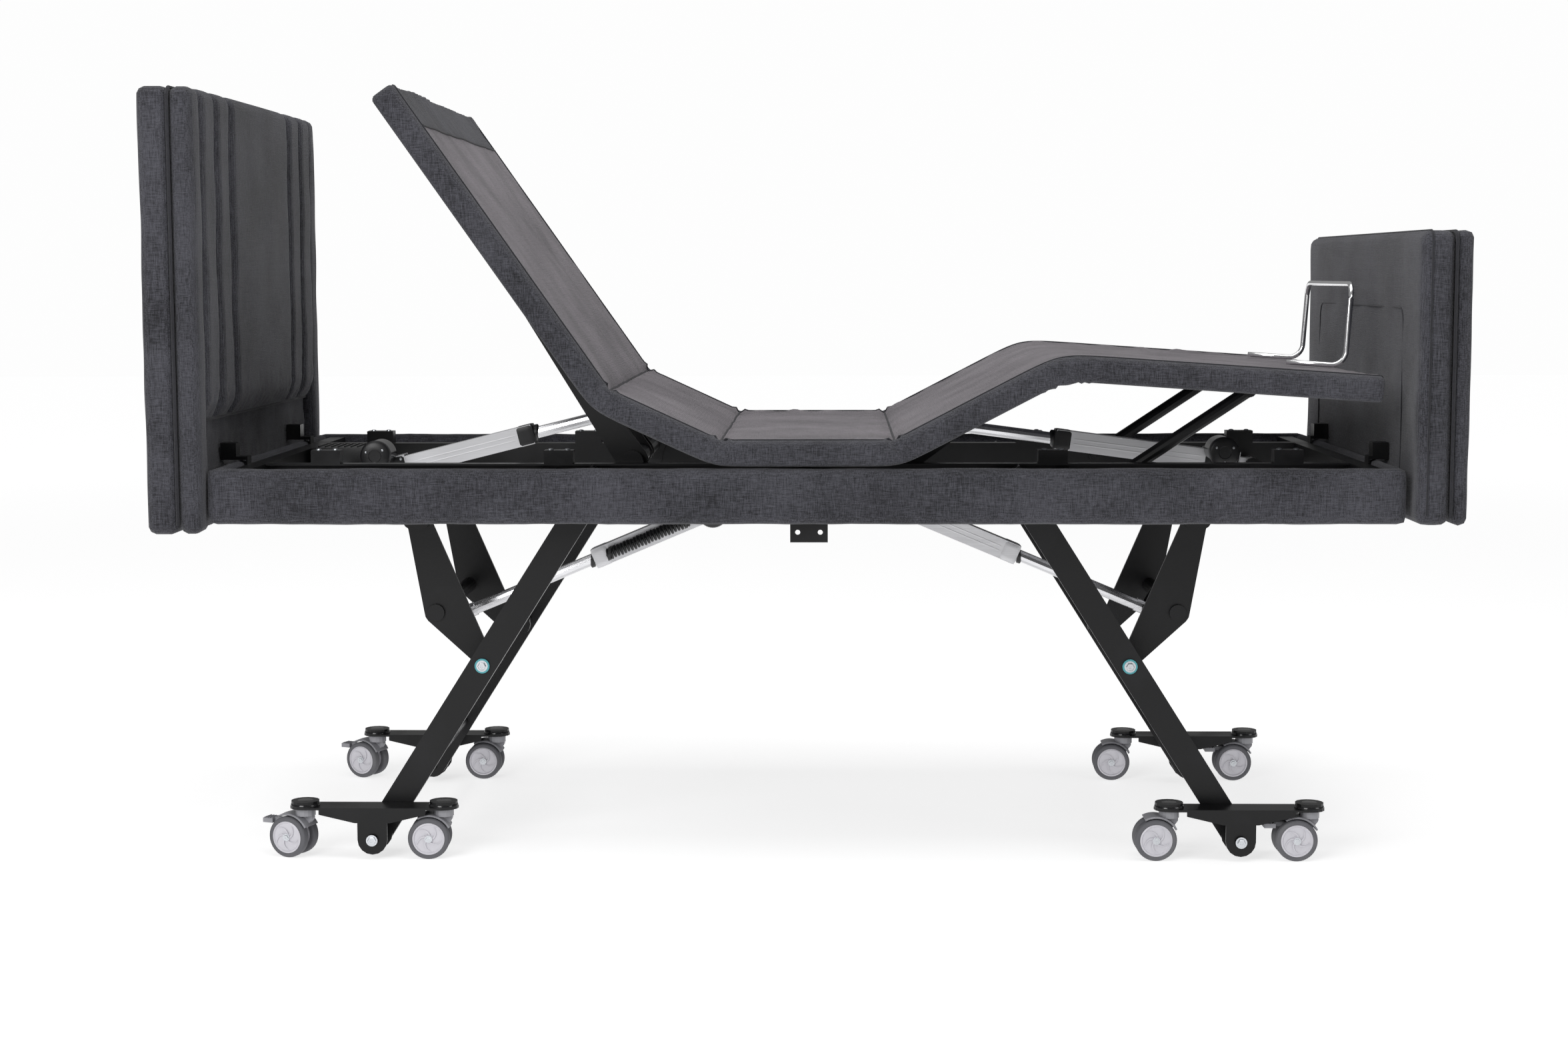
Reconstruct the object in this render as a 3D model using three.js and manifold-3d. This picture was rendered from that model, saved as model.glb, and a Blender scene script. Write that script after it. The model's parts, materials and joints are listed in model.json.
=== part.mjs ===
// Adjustable bed base: a profiling deck in five sections on a steel chassis that rises on two
// scissor-like leg frames, with upholstered surrounds, a headboard and a footboard.
// Millimetres, +Z up, +X towards the foot, -Y the right-hand side. The origin is on the floor,
// below the middle of the bed. The bed is drawn raised, with its back and knees up.
import * as THREE from 'three';
import { mergeVertices } from 'three/addons/utils/BufferGeometryUtils.js';
import Module from 'manifold-3d';

const wasm = await Module();
wasm.setup();

// ---------------------------------------------------------------- driving dimensions

// Surround: four padded boards around the chassis.
const BED_LENGTH = 2050;
const BED_WIDTH = 930;
const SURROUND_HEIGHT = 96;
const SURROUND_THICKNESS = 24;
const SURROUND_GAP = 2;

// Deck: upholstered trays, hollow underneath.
const DECK_TOP = 753.5;
const DECK_THICKNESS = 49;
const DECK_BOARD = 18;
const DECK_SKIRT = 27;
const DECK_JOINT_GAP = 2;
const DECK_REST_GAP = 1;
const DECK_HEAD_INSET = 43;
const DECK_FOOT_INSET = 30;
const SEAT_HEAD_X = -143;
const SEAT_LENGTH = 297;
const LUMBAR_LENGTH = 207;
const THIGH_LENGTH = 303;
const LUMBAR_ANGLE = 24.7;
const BACK_ANGLE = 55;
const THIGH_ANGLE = 27.5;
const CALF_ANGLE = -4;

// Headboard and footboard.
const BOARD_OVERHANG = 27;
const HEADBOARD_TOP = 1351;
const HEADBOARD_BOTTOM = 593;
const HEADBOARD_SEAM = 785;
const HEADBOARD_PANEL = 53;
const HEADBOARD_FOOT_PAD = 20;
const HEADBOARD_CHANNEL_PAD = 44;
const HEADBOARD_CLEARANCE = 22;
const FOOTBOARD_TOP = 1105;
const FOOTBOARD_BOTTOM = 608;
const FOOTBOARD_PANEL = 30;
const FOOTBOARD_PAD = 57;
const FOOTBOARD_CLEARANCE = 9;
const BOARD_JOINT_GAP = 1;

// Chassis: two channel rails joined by cross members, with outriggers to the surround.
const RAIL_WEB_Y = 250;
const RAIL_WIDTH = 30;
const RAIL_HEIGHT = 50;
const RAIL_WALL = 3;
const RAIL_TOP = 698;
const END_TUBE = 30;
const MOUNT_TUBE = 24;
const MOUNT_TUBE_RISE = 16;
const OUTRIGGER_WIDTH = 24;
const OUTRIGGER_HEIGHT = 30;
const OUTRIGGER_CLEARANCE = 82;
const SUPPORT_BLOCK_LENGTH = 52;
const SUPPORT_BLOCK_HEIGHT = 24;
const SUPPORT_BLOCK_END_X = 168;
const SUPPORT_BLOCK_MIDDLE_X = 440;
const HOOK_LENGTH = 28;
const HOOK_HEIGHT = 30;
const HOOK_STRAP = 2.5;
const HOOK_CLEARANCE = 1.5;
const BRACKET_X = 8;
const BRACKET_LENGTH = 65;
const BRACKET_DROP = 35;
const BRACKET_INSET = 22;
const BRACKET_PLATE = 4;
const BRACKET_HOLE_RADIUS = 4.5;
const PIVOT_EAR = 6;
const PIN_RADIUS = 8;
const SMALL_PIN_RADIUS = 6;
const RUNNING_GAP = 0.6;
const SIDE_GAP = 1;

// Lift: link frames hang from the chassis, legs cross them and roll in the rails.
const LINK_SETBACK = 317;
const LINK_PIVOT_DROP = 50;
const LINK_LENGTH = 290;
const LINK_ANGLE = 62.9;
const LINK_PLATE_Y = 196;
const LINK_PLATE = 8;
const LINK_TUBE_RADIUS = 14;
const LINK_BOSS_IN = 33;
const LINK_BOSS_DOWN = 178;
const LINK_BOSS_RADIUS = 22;
const LEG_ANGLE = 57.7;
const LEG_DEPTH = 48;
const LEG_WIDTH = 30;
const LEG_WALL = 3;
const LEG_HEAD = 14;
const LEG_GAP = 7.5;
const LEG_TIE_UP = 110;
const ROLLER_RADIUS = 13;
const ROLLER_WIDTH = 20;

// Bogies and casters.
const BOGIE_LENGTH = 301.5;
const BOGIE_WIDTH = 54;
const BOGIE_PLATE = 4;
const BOGIE_EAR_WIDTH = 53;
const BOGIE_EAR_DROP = 57.3;
const BOGIE_GUSSET_LENGTH = 190;
const BOGIE_GUSSET_DEPTH = 8;
const BOGIE_CAP_RADIUS = 25;
const BOGIE_CAP_HEIGHT = 9;
const WHEEL_DIAMETER = 74;
const WHEEL_WIDTH = 17;
const WHEEL_SPACING = 16;
const WHEEL_AXLE_RADIUS = 4;
const WHEEL_SIDES = 20;
const CASTER_TRAIL = 25;
const CASTER_CROWN_GAP = 14.8;
const FORK_NECK_RADIUS = 18;
const PEDAL_REACH = 56;
const PEDAL_LENGTH = 20;
const PEDAL_WIDTH = 26;
const PEDAL_THICKNESS = 7;

// Lift arms under the back and thigh sections, and the struts under the calf section.
const ARM_PLATE = 8;
const ARM_PLATE_Y = 222;
const BACK_ARM_SETBACK = 168;
const BACK_ARM_Z = 700;
const BACK_ARM_LENGTH = 340;
const THIGH_ARM_SETOUT = 16;
const THIGH_ARM_Z = 690;
const THIGH_ARM_LENGTH = 230;
const ARM_TUBE_RADIUS = 17;
const STRUT_SETOUT = 420;
const STRUT_Z = 680;
const STRUT_LENGTH = 262;
const STRUT_ANGLE = 33.6;
const STRUT_RADIUS = 11.5;
const STRUT_Y = 232;

// Linear actuators.
const ACTUATOR_ROD_RADIUS = 11;
const ACTUATOR_DEPTH = 37;
const ACTUATOR_WIDTH = 40;
const ACTUATOR_EYE_RADIUS = 14;
const ACTUATOR_MOTOR_RADIUS = 27;
const ACTUATOR_MOTOR_LENGTH = 70;
const ACTUATOR_ROD_INSERT = 45;
const BACK_ACTUATOR_SETIN = 179;
const BACK_ACTUATOR_Z = 652;
const BACK_CRANK = [86.5, 8];
const BACK_ROD_EXPOSED = 169;
const THIGH_ACTUATOR_SETIN = 187;
const THIGH_ACTUATOR_Z = 675;
const THIGH_CRANK = [91.8, 24];
const THIGH_ROD_EXPOSED = 230;
const LIFT_ACTUATOR_Y = 34;
const LIFT_ANCHOR_OUT = 90;
const LIFT_ACTUATOR_RISE = 32;
const LIFT_LUG_IN = 56;
const LIFT_LUG_DOWN = 204;
const LIFT_ROD_EXPOSED = 275;
const LIFT_MOTOR_AT = 90;
const OPEN_PIN_RADIUS = 4.5;
const OPEN_EYE_PLAY = 9;
const ROD_EYE_WALL = 4;
const LIFT_SLOT_HALF_HEIGHT = 33;
const LIFT_SLOT_HALF_WIDTH = 18;

// Control box, curly cords and mattress retainer.
const CONTROL_BOX = [128, 106, 38];
const CURL_RADIUS = 12;
const CURL_LENGTH = 180;
const RETAINER_HALF_WIDTH = 205;
const RETAINER_HEIGHT = 152;
const RETAINER_BASE = 105;
const RETAINER_RADIUS = 4.75;
const RETAINER_BEND = 28;
const RETAINER_END_INSET = 18;

// How far each caster is turned about its stem, in degrees.
const CASTER_TURNS = {
  head_right_outer: -20, head_right_inner: 2, head_left_outer: -24, head_left_inner: -2,
  foot_right_outer: 1, foot_right_inner: 1, foot_left_outer: 0, foot_left_inner: -2,
};

// ---------------------------------------------------------------- derived stations

const rad = THREE.MathUtils.degToRad;
const halfLength = BED_LENGTH / 2;
const halfWidth = BED_WIDTH / 2;
const surroundTop = DECK_TOP - DECK_THICKNESS - DECK_REST_GAP;
const surroundBottom = surroundTop - SURROUND_HEIGHT;
const surroundInnerY = halfWidth - SURROUND_THICKNESS;
const surroundInnerX = halfLength - SURROUND_THICKNESS;
const railOuterY = RAIL_WEB_Y + RAIL_WIDTH;
const railBottom = RAIL_TOP - RAIL_HEIGHT;
const trackZ = RAIL_TOP - RAIL_HEIGHT / 2;
const mountTubeTop = railBottom + MOUNT_TUBE_RISE;
const railEndX = surroundInnerX - SURROUND_GAP * 3;

// A point of the side view, and the point at a distance and an angle from it.
const at = (x, z) => ({ x, z });
const polar = (from, distance, angle) =>
  at(from.x + distance * Math.cos(rad(angle)), from.z + distance * Math.sin(rad(angle)));
const local = (from, angle, u, w) => polar(polar(from, u, angle), w, angle + 90);
const angleOf = (p, q) => THREE.MathUtils.radToDeg(Math.atan2(q.z - p.z, q.x - p.x));
const distance = (p, q) => Math.hypot(q.x - p.x, q.z - p.z);

const lumbarHinge = at(SEAT_HEAD_X, DECK_TOP);
const backHinge = polar(lumbarHinge, LUMBAR_LENGTH, 180 - LUMBAR_ANGLE);
const thighHinge = at(SEAT_HEAD_X + SEAT_LENGTH, DECK_TOP);
const kneeHinge = local(thighHinge, THIGH_ANGLE, THIGH_LENGTH, -DECK_THICKNESS);
const backLength = halfLength - DECK_HEAD_INSET + SEAT_HEAD_X - LUMBAR_LENGTH;
const calfLength = halfLength - DECK_FOOT_INSET - thighHinge.x - THIGH_LENGTH;

const backArmPivot = at(SEAT_HEAD_X - BACK_ARM_SETBACK, BACK_ARM_Z);
const thighArmPivot = at(thighHinge.x + THIGH_ARM_SETOUT, THIGH_ARM_Z);
const strutPivot = at(thighHinge.x + STRUT_SETOUT, STRUT_Z);
const backActuatorPivot = at(-halfLength + BACK_ACTUATOR_SETIN, BACK_ACTUATOR_Z);
const thighActuatorPivot = at(halfLength - THIGH_ACTUATOR_SETIN, THIGH_ACTUATOR_Z);
const backCrank = local(backArmPivot, 180 - BACK_ANGLE, BACK_CRANK[0], -BACK_CRANK[1]);
const thighCrank = local(thighArmPivot, THIGH_ANGLE, THIGH_CRANK[0], THIGH_CRANK[1]);

const bogieTop = WHEEL_DIAMETER + CASTER_CROWN_GAP + BOGIE_PLATE;
const bogieY = railOuterY + LEG_GAP + LEG_WIDTH + SIDE_GAP + BOGIE_WIDTH / 2;
const legInnerY = railOuterY + LEG_GAP;
const legOuterY = legInnerY + LEG_WIDTH;

// One end's lift, drawn for the head end (end = -1) and mirrored for the foot end (end = 1).
function liftStations(end) {
  const mirror = (p) => at(-end * p.x, p.z);
  const pivot = at(-(halfLength - LINK_SETBACK), railBottom - LINK_PIVOT_DROP);
  const middle = polar(pivot, LINK_LENGTH, -LINK_ANGLE);
  const lower = (middle.z - (bogieTop - BOGIE_EAR_DROP)) / Math.sin(rad(LEG_ANGLE));
  const upper = (trackZ - middle.z) / Math.sin(rad(LEG_ANGLE));
  const bottom = polar(middle, -lower, LEG_ANGLE);
  const top = polar(middle, upper, LEG_ANGLE);
  const boss = at(pivot.x + LINK_BOSS_IN, pivot.z - LINK_BOSS_DOWN);
  const lug = at(pivot.x + LIFT_LUG_IN, pivot.z - LIFT_LUG_DOWN);
  const anchor = at(-LIFT_ANCHOR_OUT, pivot.z + LIFT_ACTUATOR_RISE);
  const points = { pivot, middle, bottom, top, boss, lug, anchor };
  return Object.fromEntries(Object.entries(points).map(([name, p]) => [name, mirror(p)]));
}
const lifts = { head: liftStations(-1), foot: liftStations(1) };

// ---------------------------------------------------------------- materials

const paint = (color, roughness, metalness) =>
  new THREE.MeshStandardMaterial({ color, roughness, metalness });
const blackSteel = paint(0x17171a, 0.45, 0.5);
const charcoalFabric = paint(0x3a3b42, 0.95, 0);
const taupeFabric = paint(0x66606a, 0.95, 0);
const aluminium = paint(0xc4c4c8, 0.35, 0.9);
const chrome = paint(0xe6e6e6, 0.12, 1);
const greyPlastic = paint(0x9a9aa0, 0.5, 0);
const tyreRubber = paint(0x55555a, 0.8, 0);
const blackPlastic = paint(0x121214, 0.35, 0);

// ---------------------------------------------------------------- solid helpers

function toSolid(geometry) {
  const bare = geometry.clone();
  bare.deleteAttribute('normal');
  bare.deleteAttribute('uv');
  const merged = mergeVertices(bare, 1e-3);
  return new wasm.Manifold(new wasm.Mesh({
    numProp: 3,
    vertProperties: Float32Array.from(merged.attributes.position.array),
    triVerts: Uint32Array.from(merged.index.array),
  }));
}

function toGeometry(solid) {
  const mesh = solid.getMesh();
  const geometry = new THREE.BufferGeometry();
  geometry.setAttribute('position', new THREE.BufferAttribute(mesh.vertProperties, 3));
  geometry.setIndex(new THREE.BufferAttribute(mesh.triVerts, 1));
  geometry.computeVertexNormals();
  return geometry;
}

const join = (...solids) => solids.flat().reduce((sum, solid) => sum.add(solid));
const cut = (solid, ...tools) => tools.flat().reduce((rest, tool) => rest.subtract(tool), solid);

function box(x0, x1, y0, y1, z0, z1) {
  const geometry = new THREE.BoxGeometry(x1 - x0, y1 - y0, z1 - z0);
  geometry.translate((x0 + x1) / 2, (y0 + y1) / 2, (z0 + z1) / 2);
  return toSolid(geometry);
}

// A round bar along Y, through the side-view point p.
function barY(p, radius, y0, y1, sides = 14) {
  const geometry = new THREE.CylinderGeometry(radius, radius, y1 - y0, sides);
  geometry.translate(p.x, (y0 + y1) / 2, p.z);
  return toSolid(geometry);
}

// A round bar along Z.
function barZ(x, y, radius, z0, z1, sides = 16) {
  const geometry = new THREE.CylinderGeometry(radius, radius, z1 - z0, sides);
  geometry.rotateX(Math.PI / 2);
  geometry.translate(x, y, (z0 + z1) / 2);
  return toSolid(geometry);
}

// A round bar along the local X axis.
function barX(radius, x0, x1, sides = 12) {
  const geometry = new THREE.CylinderGeometry(radius, radius, x1 - x0, sides);
  geometry.rotateZ(Math.PI / 2);
  geometry.translate((x0 + x1) / 2, 0, 0);
  return toSolid(geometry);
}

// A plate whose side-view outline is given, between two Y values.
function plate(outline, y0, y1) {
  const shape = new THREE.Shape(outline.map((p) => new THREE.Vector2(p.x, p.z)));
  const geometry = new THREE.ExtrudeGeometry(shape, { depth: y1 - y0, bevelEnabled: false });
  geometry.rotateX(Math.PI / 2);
  geometry.translate(0, y1, 0);
  return toSolid(geometry);
}

// The outline of a band stretched around circles, each [point, radius].
function bandAround(circles, sides = 16) {
  const points = circles.flatMap(([p, radius]) =>
    Array.from({ length: sides }, (_, i) => polar(p, radius, (360 * i) / sides)));
  points.sort((a, b) => a.x - b.x || a.z - b.z);
  const turn = (o, a, b) => (a.x - o.x) * (b.z - o.z) - (a.z - o.z) * (b.x - o.x);
  const chain = (list) => {
    const hull = [];
    for (const p of list) {
      while (hull.length > 1 && turn(hull.at(-2), hull.at(-1), p) <= 1e-6) hull.pop();
      hull.push(p);
    }
    return hull.slice(0, -1);
  };
  return [...chain(points), ...chain([...points].reverse())];
}

const bandPlate = (circles, y0, y1) => plate(bandAround(circles), y0, y1);

// Both sides of a pair: make(y0, y1) on the right is repeated, mirrored, on the left.
const bothSides = (make, inner, outer) => [make(-outer, -inner), make(inner, outer)];

const bed = new THREE.Group();

function addNode(name, solid, material, placing = {}) {
  const mesh = new THREE.Mesh(toGeometry(solid), material);
  mesh.name = name;
  mesh.position.set(placing.x ?? 0, placing.y ?? 0, placing.z ?? 0);
  mesh.rotation.order = 'ZYX';
  mesh.rotation.y = -rad(placing.angle ?? 0);
  mesh.rotation.z = rad(placing.turn ?? 0);
  (placing.parent ?? bed).add(mesh);
  return mesh;
}

// ---------------------------------------------------------------- surround and end boards

function addSurround() {
  const z = [surroundBottom, surroundTop];
  const long = (y0, y1) => box(-halfLength, halfLength, y0, y1, ...z);
  const [right, left] = bothSides(long, surroundInnerY, halfWidth);
  addNode('surround_right', right, charcoalFabric);
  addNode('surround_left', left, charcoalFabric);
  const endY = surroundInnerY - SURROUND_GAP;
  addNode('surround_head', box(-halfLength, -surroundInnerX, -endY, endY, ...z), charcoalFabric);
  addNode('surround_foot', box(surroundInnerX, halfLength, -endY, endY, ...z), charcoalFabric);
}

function addEndBoards() {
  const boardY = halfWidth + BOARD_OVERHANG;
  const headFace = -halfLength - HEADBOARD_CLEARANCE;
  const headSeam = headFace - HEADBOARD_FOOT_PAD;
  const channelFace = headSeam + HEADBOARD_CHANNEL_PAD;
  const padOutline = [
    at(headSeam, HEADBOARD_BOTTOM), at(headFace, HEADBOARD_BOTTOM), at(headFace, HEADBOARD_SEAM),
    at(channelFace, HEADBOARD_SEAM), at(channelFace, HEADBOARD_TOP), at(headSeam, HEADBOARD_TOP),
  ];
  addNode('headboard_pad', plate(padOutline, -boardY, boardY), charcoalFabric);
  const headBack = headSeam - BOARD_JOINT_GAP;
  addNode('headboard_panel', box(headBack - HEADBOARD_PANEL, headBack, -boardY, boardY,
    HEADBOARD_BOTTOM, HEADBOARD_TOP), charcoalFabric);
  const footFace = halfLength + FOOTBOARD_CLEARANCE;
  const footSeam = footFace + FOOTBOARD_PAD;
  addNode('footboard_pad', box(footFace, footSeam, -boardY, boardY,
    FOOTBOARD_BOTTOM, FOOTBOARD_TOP), charcoalFabric);
  addNode('footboard_panel', box(footSeam + BOARD_JOINT_GAP, footSeam + FOOTBOARD_PANEL, -boardY, boardY,
    FOOTBOARD_BOTTOM, FOOTBOARD_TOP), charcoalFabric);
}

// ---------------------------------------------------------------- deck

// A tray of the deck in its own frame: x runs along the deck from x0 to x1, z is 0 on its top.
// The ends named in walls are closed by a skirt like the sides.
function deckTray(x0, x1, walls) {
  const tray = box(x0, x1, -halfWidth, halfWidth, -DECK_THICKNESS, 0);
  const hollowX0 = walls.includes('low') ? x0 + DECK_SKIRT : x0 - DECK_SKIRT;
  const hollowX1 = walls.includes('high') ? x1 - DECK_SKIRT : x1 + DECK_SKIRT;
  const hollowY = halfWidth - DECK_SKIRT;
  return cut(tray, box(hollowX0, hollowX1, -hollowY, hollowY, -2 * DECK_THICKNESS, -DECK_BOARD));
}

function addDeck() {
  const g = DECK_JOINT_GAP / 2;
  addNode('seat_section', deckTray(g, SEAT_LENGTH - g, []), taupeFabric, { x: SEAT_HEAD_X, z: DECK_TOP });
  addNode('lumbar_section', deckTray(-LUMBAR_LENGTH + g, -g, []), taupeFabric,
    { ...lumbarHinge, angle: -LUMBAR_ANGLE });
  addNode('back_section', deckTray(-backLength, -g, ['low']), taupeFabric,
    { ...backHinge, angle: -BACK_ANGLE });
  addNode('thigh_section', deckTray(g, THIGH_LENGTH - g, []), taupeFabric,
    { ...thighHinge, angle: THIGH_ANGLE });
  const calfTop = local(kneeHinge, CALF_ANGLE, 0, DECK_THICKNESS);
  addNode('calf_section', deckTray(g, calfLength, ['high']), taupeFabric,
    { ...calfTop, angle: CALF_ANGLE });
}

// ---------------------------------------------------------------- chassis

// A channel rail, open towards the leg, with its support blocks and board hooks.
function chassisRail(side) {
  const span = (y0, y1) => (side > 0 ? [y0, y1] : [-y1, -y0]);
  const [webY0, webY1] = span(RAIL_WEB_Y, RAIL_WEB_Y + RAIL_WALL);
  const [y0, y1] = span(RAIL_WEB_Y, railOuterY);
  const pieces = [
    box(-railEndX, railEndX, webY0, webY1, railBottom, RAIL_TOP),
    box(-railEndX, railEndX, y0, y1, railBottom, railBottom + RAIL_WALL),
    box(-railEndX, railEndX, y0, y1, RAIL_TOP - RAIL_WALL, RAIL_TOP),
  ];
  for (const x of [-halfLength + SUPPORT_BLOCK_END_X, -SUPPORT_BLOCK_MIDDLE_X,
    SUPPORT_BLOCK_MIDDLE_X, halfLength - SUPPORT_BLOCK_END_X]) {
    const half = SUPPORT_BLOCK_LENGTH / 2;
    pieces.push(box(x - half, x + half, y0, y1, RAIL_TOP - RAIL_WALL, RAIL_TOP + SUPPORT_BLOCK_HEIGHT));
  }
  const shelf = surroundTop + SURROUND_GAP;
  const strapTop = shelf + RAIL_WALL * 2;
  const strapX = surroundInnerX - HOOK_CLEARANCE;
  const hooks = [
    [-1, halfLength + HEADBOARD_CLEARANCE - SURROUND_GAP],
    [1, halfLength + FOOTBOARD_CLEARANCE - SURROUND_GAP],
  ];
  for (const [end, tipX] of hooks) {
    const reach = (a, b) => (end < 0 ? [-b, -a] : [a, b]);
    pieces.push(
      box(...reach(tipX - HOOK_LENGTH, tipX), y0, y1, shelf, shelf + HOOK_HEIGHT),
      box(...reach(strapX - HOOK_STRAP, tipX), y0, y1, shelf, strapTop),
      box(...reach(strapX - HOOK_STRAP, strapX), y0, y1, railBottom, strapTop),
      box(...reach(railEndX - 1, strapX), y0, y1, railBottom, RAIL_TOP),
    );
  }
  return pieces;
}

// Cross members at the height of the rails, from side to side.
function chassisCrossMembers() {
  const across = (x0, x1, y, z0, z1) => box(x0, x1, -y, y, z0, z1);
  const pieces = [];
  for (const end of [-1, 1]) {
    const lift = end < 0 ? lifts.head : lifts.foot;
    const span = (a, b) => [Math.min(end * a, end * b), Math.max(end * a, end * b)];
    const outerY = surroundInnerY - SURROUND_GAP;
    pieces.push(across(...span(railEndX - END_TUBE, railEndX), outerY, railBottom, RAIL_TOP));
    const linkX = Math.abs(lift.pivot.x);
    pieces.push(across(...span(linkX - END_TUBE / 2, linkX + END_TUBE / 2), railOuterY,
      railBottom - 24, railBottom + 2));
    const anchorX = lift.anchor.x;
    pieces.push(across(anchorX - END_TUBE / 2, anchorX + END_TUBE / 2, RAIL_WEB_Y + RAIL_WALL,
      RAIL_TOP - 22, RAIL_TOP));
    const outriggerX = Math.abs(lift.top.x) + OUTRIGGER_CLEARANCE;
    for (const side of [-1, 1]) {
      const [y0, y1] = side > 0 ? [RAIL_WEB_Y, outerY] : [-outerY, -RAIL_WEB_Y];
      const z = [trackZ - OUTRIGGER_HEIGHT / 2, trackZ + OUTRIGGER_HEIGHT / 2];
      pieces.push(box(...span(outriggerX, outriggerX + OUTRIGGER_WIDTH), y0, y1, ...z));
    }
  }
  const half = OUTRIGGER_WIDTH / 2;
  for (const side of [-1, 1]) {
    const outerY = surroundInnerY - SURROUND_GAP;
    const [y0, y1] = side > 0 ? [RAIL_WEB_Y, outerY] : [-outerY, -RAIL_WEB_Y];
    pieces.push(box(-half, half, y0, y1, trackZ - OUTRIGGER_HEIGHT / 2, trackZ + OUTRIGGER_HEIGHT / 2));
  }
  return pieces;
}

// A drilled bracket that hangs from the middle outrigger, inside the surround.
function middleBracket(side) {
  const plateY = side * (surroundInnerY - SURROUND_GAP - BRACKET_INSET);
  const [y0, y1] = [plateY - BRACKET_PLATE / 2, plateY + BRACKET_PLATE / 2];
  const half = BRACKET_LENGTH / 2;
  const sheet = box(BRACKET_X - half, BRACKET_X + half, y0, y1, surroundBottom - BRACKET_DROP, trackZ);
  const holes = [-1, 1].map((end) => {
    const centre = at(BRACKET_X + end * half * 0.6, surroundBottom - BRACKET_DROP / 2);
    return barY(centre, BRACKET_HOLE_RADIUS, y0 - 1, y1 + 1);
  });
  return cut(sheet, holes);
}

// Ears and pins that carry the link frames, one pair at each end.
function linkHangers(lift) {
  const inner = LINK_PLATE_Y + LINK_PLATE + SIDE_GAP * 2;
  const root = at(lift.pivot.x, railBottom - 12);
  const ear = (y0, y1) => bandPlate([[lift.pivot, 28], [root, 34]], y0, y1);
  const ears = bothSides(ear, inner, inner + PIVOT_EAR);
  const pins = bothSides((y0, y1) => barY(lift.pivot, PIN_RADIUS, y0, y1), LINK_PLATE_Y - 6, inner + 1);
  return [...ears, ...pins];
}

// Ears on the rails' inner faces with stub pins for a lift arm or a strut.
function railPivots(pivot, radius, pinRadius, pinInnerY) {
  const earY = RAIL_WEB_Y - PIVOT_EAR;
  const root = at(pivot.x, trackZ);
  const ear = (y0, y1) => bandPlate([[pivot, radius], [root, radius]], y0, y1);
  const ears = bothSides(ear, earY, RAIL_WEB_Y + 1);
  const pins = bothSides((y0, y1) => barY(pivot, pinRadius, y0, y1), pinInnerY, earY + 1);
  return [...ears, ...pins];
}

// A cross tube with two ears and a pin for the rear eye of an actuator.
function actuatorMount(pivot, outward) {
  const tube = at(pivot.x + outward * 32, mountTubeTop - MOUNT_TUBE / 2);
  const earInner = ACTUATOR_WIDTH / 2 - 2;
  const half = MOUNT_TUBE / 2;
  const ear = (y0, y1) => bandPlate([[pivot, ACTUATOR_EYE_RADIUS], [tube, half]], y0, y1);
  const ears = bothSides(ear, earInner, earInner + PIVOT_EAR);
  const pin = barY(pivot, SMALL_PIN_RADIUS, -earInner - 1, earInner + 1);
  const bar = box(tube.x - half, tube.x + half, -railOuterY, railOuterY, tube.z - half, tube.z + half);
  return [bar, ...ears, pin];
}

// Slotted cheeks that guide the rear pin of a lift actuator.
function liftAnchor(anchor, y) {
  const slot = bandAround([
    [at(anchor.x, anchor.z - LIFT_SLOT_HALF_HEIGHT + LIFT_SLOT_HALF_WIDTH), LIFT_SLOT_HALF_WIDTH],
    [at(anchor.x, anchor.z + LIFT_SLOT_HALF_HEIGHT - LIFT_SLOT_HALF_WIDTH), LIFT_SLOT_HALF_WIDTH],
  ]);
  const halfX = LIFT_SLOT_HALF_WIDTH + 10;
  const inner = ACTUATOR_WIDTH / 2 + SIDE_GAP * 2;
  return [-1, 1].map((side) => {
    const near = y + side * inner;
    const far = y + side * (inner + PIVOT_EAR);
    const [y0, y1] = [Math.min(near, far), Math.max(near, far)];
    const cheek = box(anchor.x - halfX, anchor.x + halfX, y0, y1,
      anchor.z - LIFT_SLOT_HALF_HEIGHT - 10, RAIL_TOP - 2);
    return cut(cheek, plate(slot, y0 - 1, y1 + 1));
  });
}

// Shelf beside the back actuator that carries the control box.
function controlShelf() {
  const [, x1, y0, y1] = controlBoxPlace();
  return box(-railEndX, x1, y0 - 2, y1 + 2, mountTubeTop - RAIL_WALL, mountTubeTop);
}

function controlBoxPlace() {
  const x0 = -railEndX + END_TUBE + 6;
  return [x0, x0 + CONTROL_BOX[0], 70, 70 + CONTROL_BOX[1]];
}

function addChassis() {
  const pinInner = ARM_PLATE_Y + ARM_PLATE + 4;
  const strutPinInner = STRUT_Y - STRUT_RADIUS + 4;
  const frame = join(
    chassisRail(-1), chassisRail(1), chassisCrossMembers(), middleBracket(-1), middleBracket(1),
    linkHangers(lifts.head), linkHangers(lifts.foot),
    railPivots(backArmPivot, 20, PIN_RADIUS, pinInner),
    railPivots(thighArmPivot, 20, PIN_RADIUS, pinInner),
    railPivots(strutPivot, 16, SMALL_PIN_RADIUS, strutPinInner),
    actuatorMount(backActuatorPivot, -1), actuatorMount(thighActuatorPivot, 1),
    liftAnchor(lifts.head.anchor, -LIFT_ACTUATOR_Y), liftAnchor(lifts.foot.anchor, LIFT_ACTUATOR_Y),
    controlShelf(),
  );
  addNode('chassis_frame', frame, blackSteel);
  const z0 = mountTubeTop + RUNNING_GAP;
  addNode('control_box', box(...controlBoxPlace(), z0, z0 + CONTROL_BOX[2]), blackPlastic);
}

// ---------------------------------------------------------------- lift arms and struts

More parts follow.
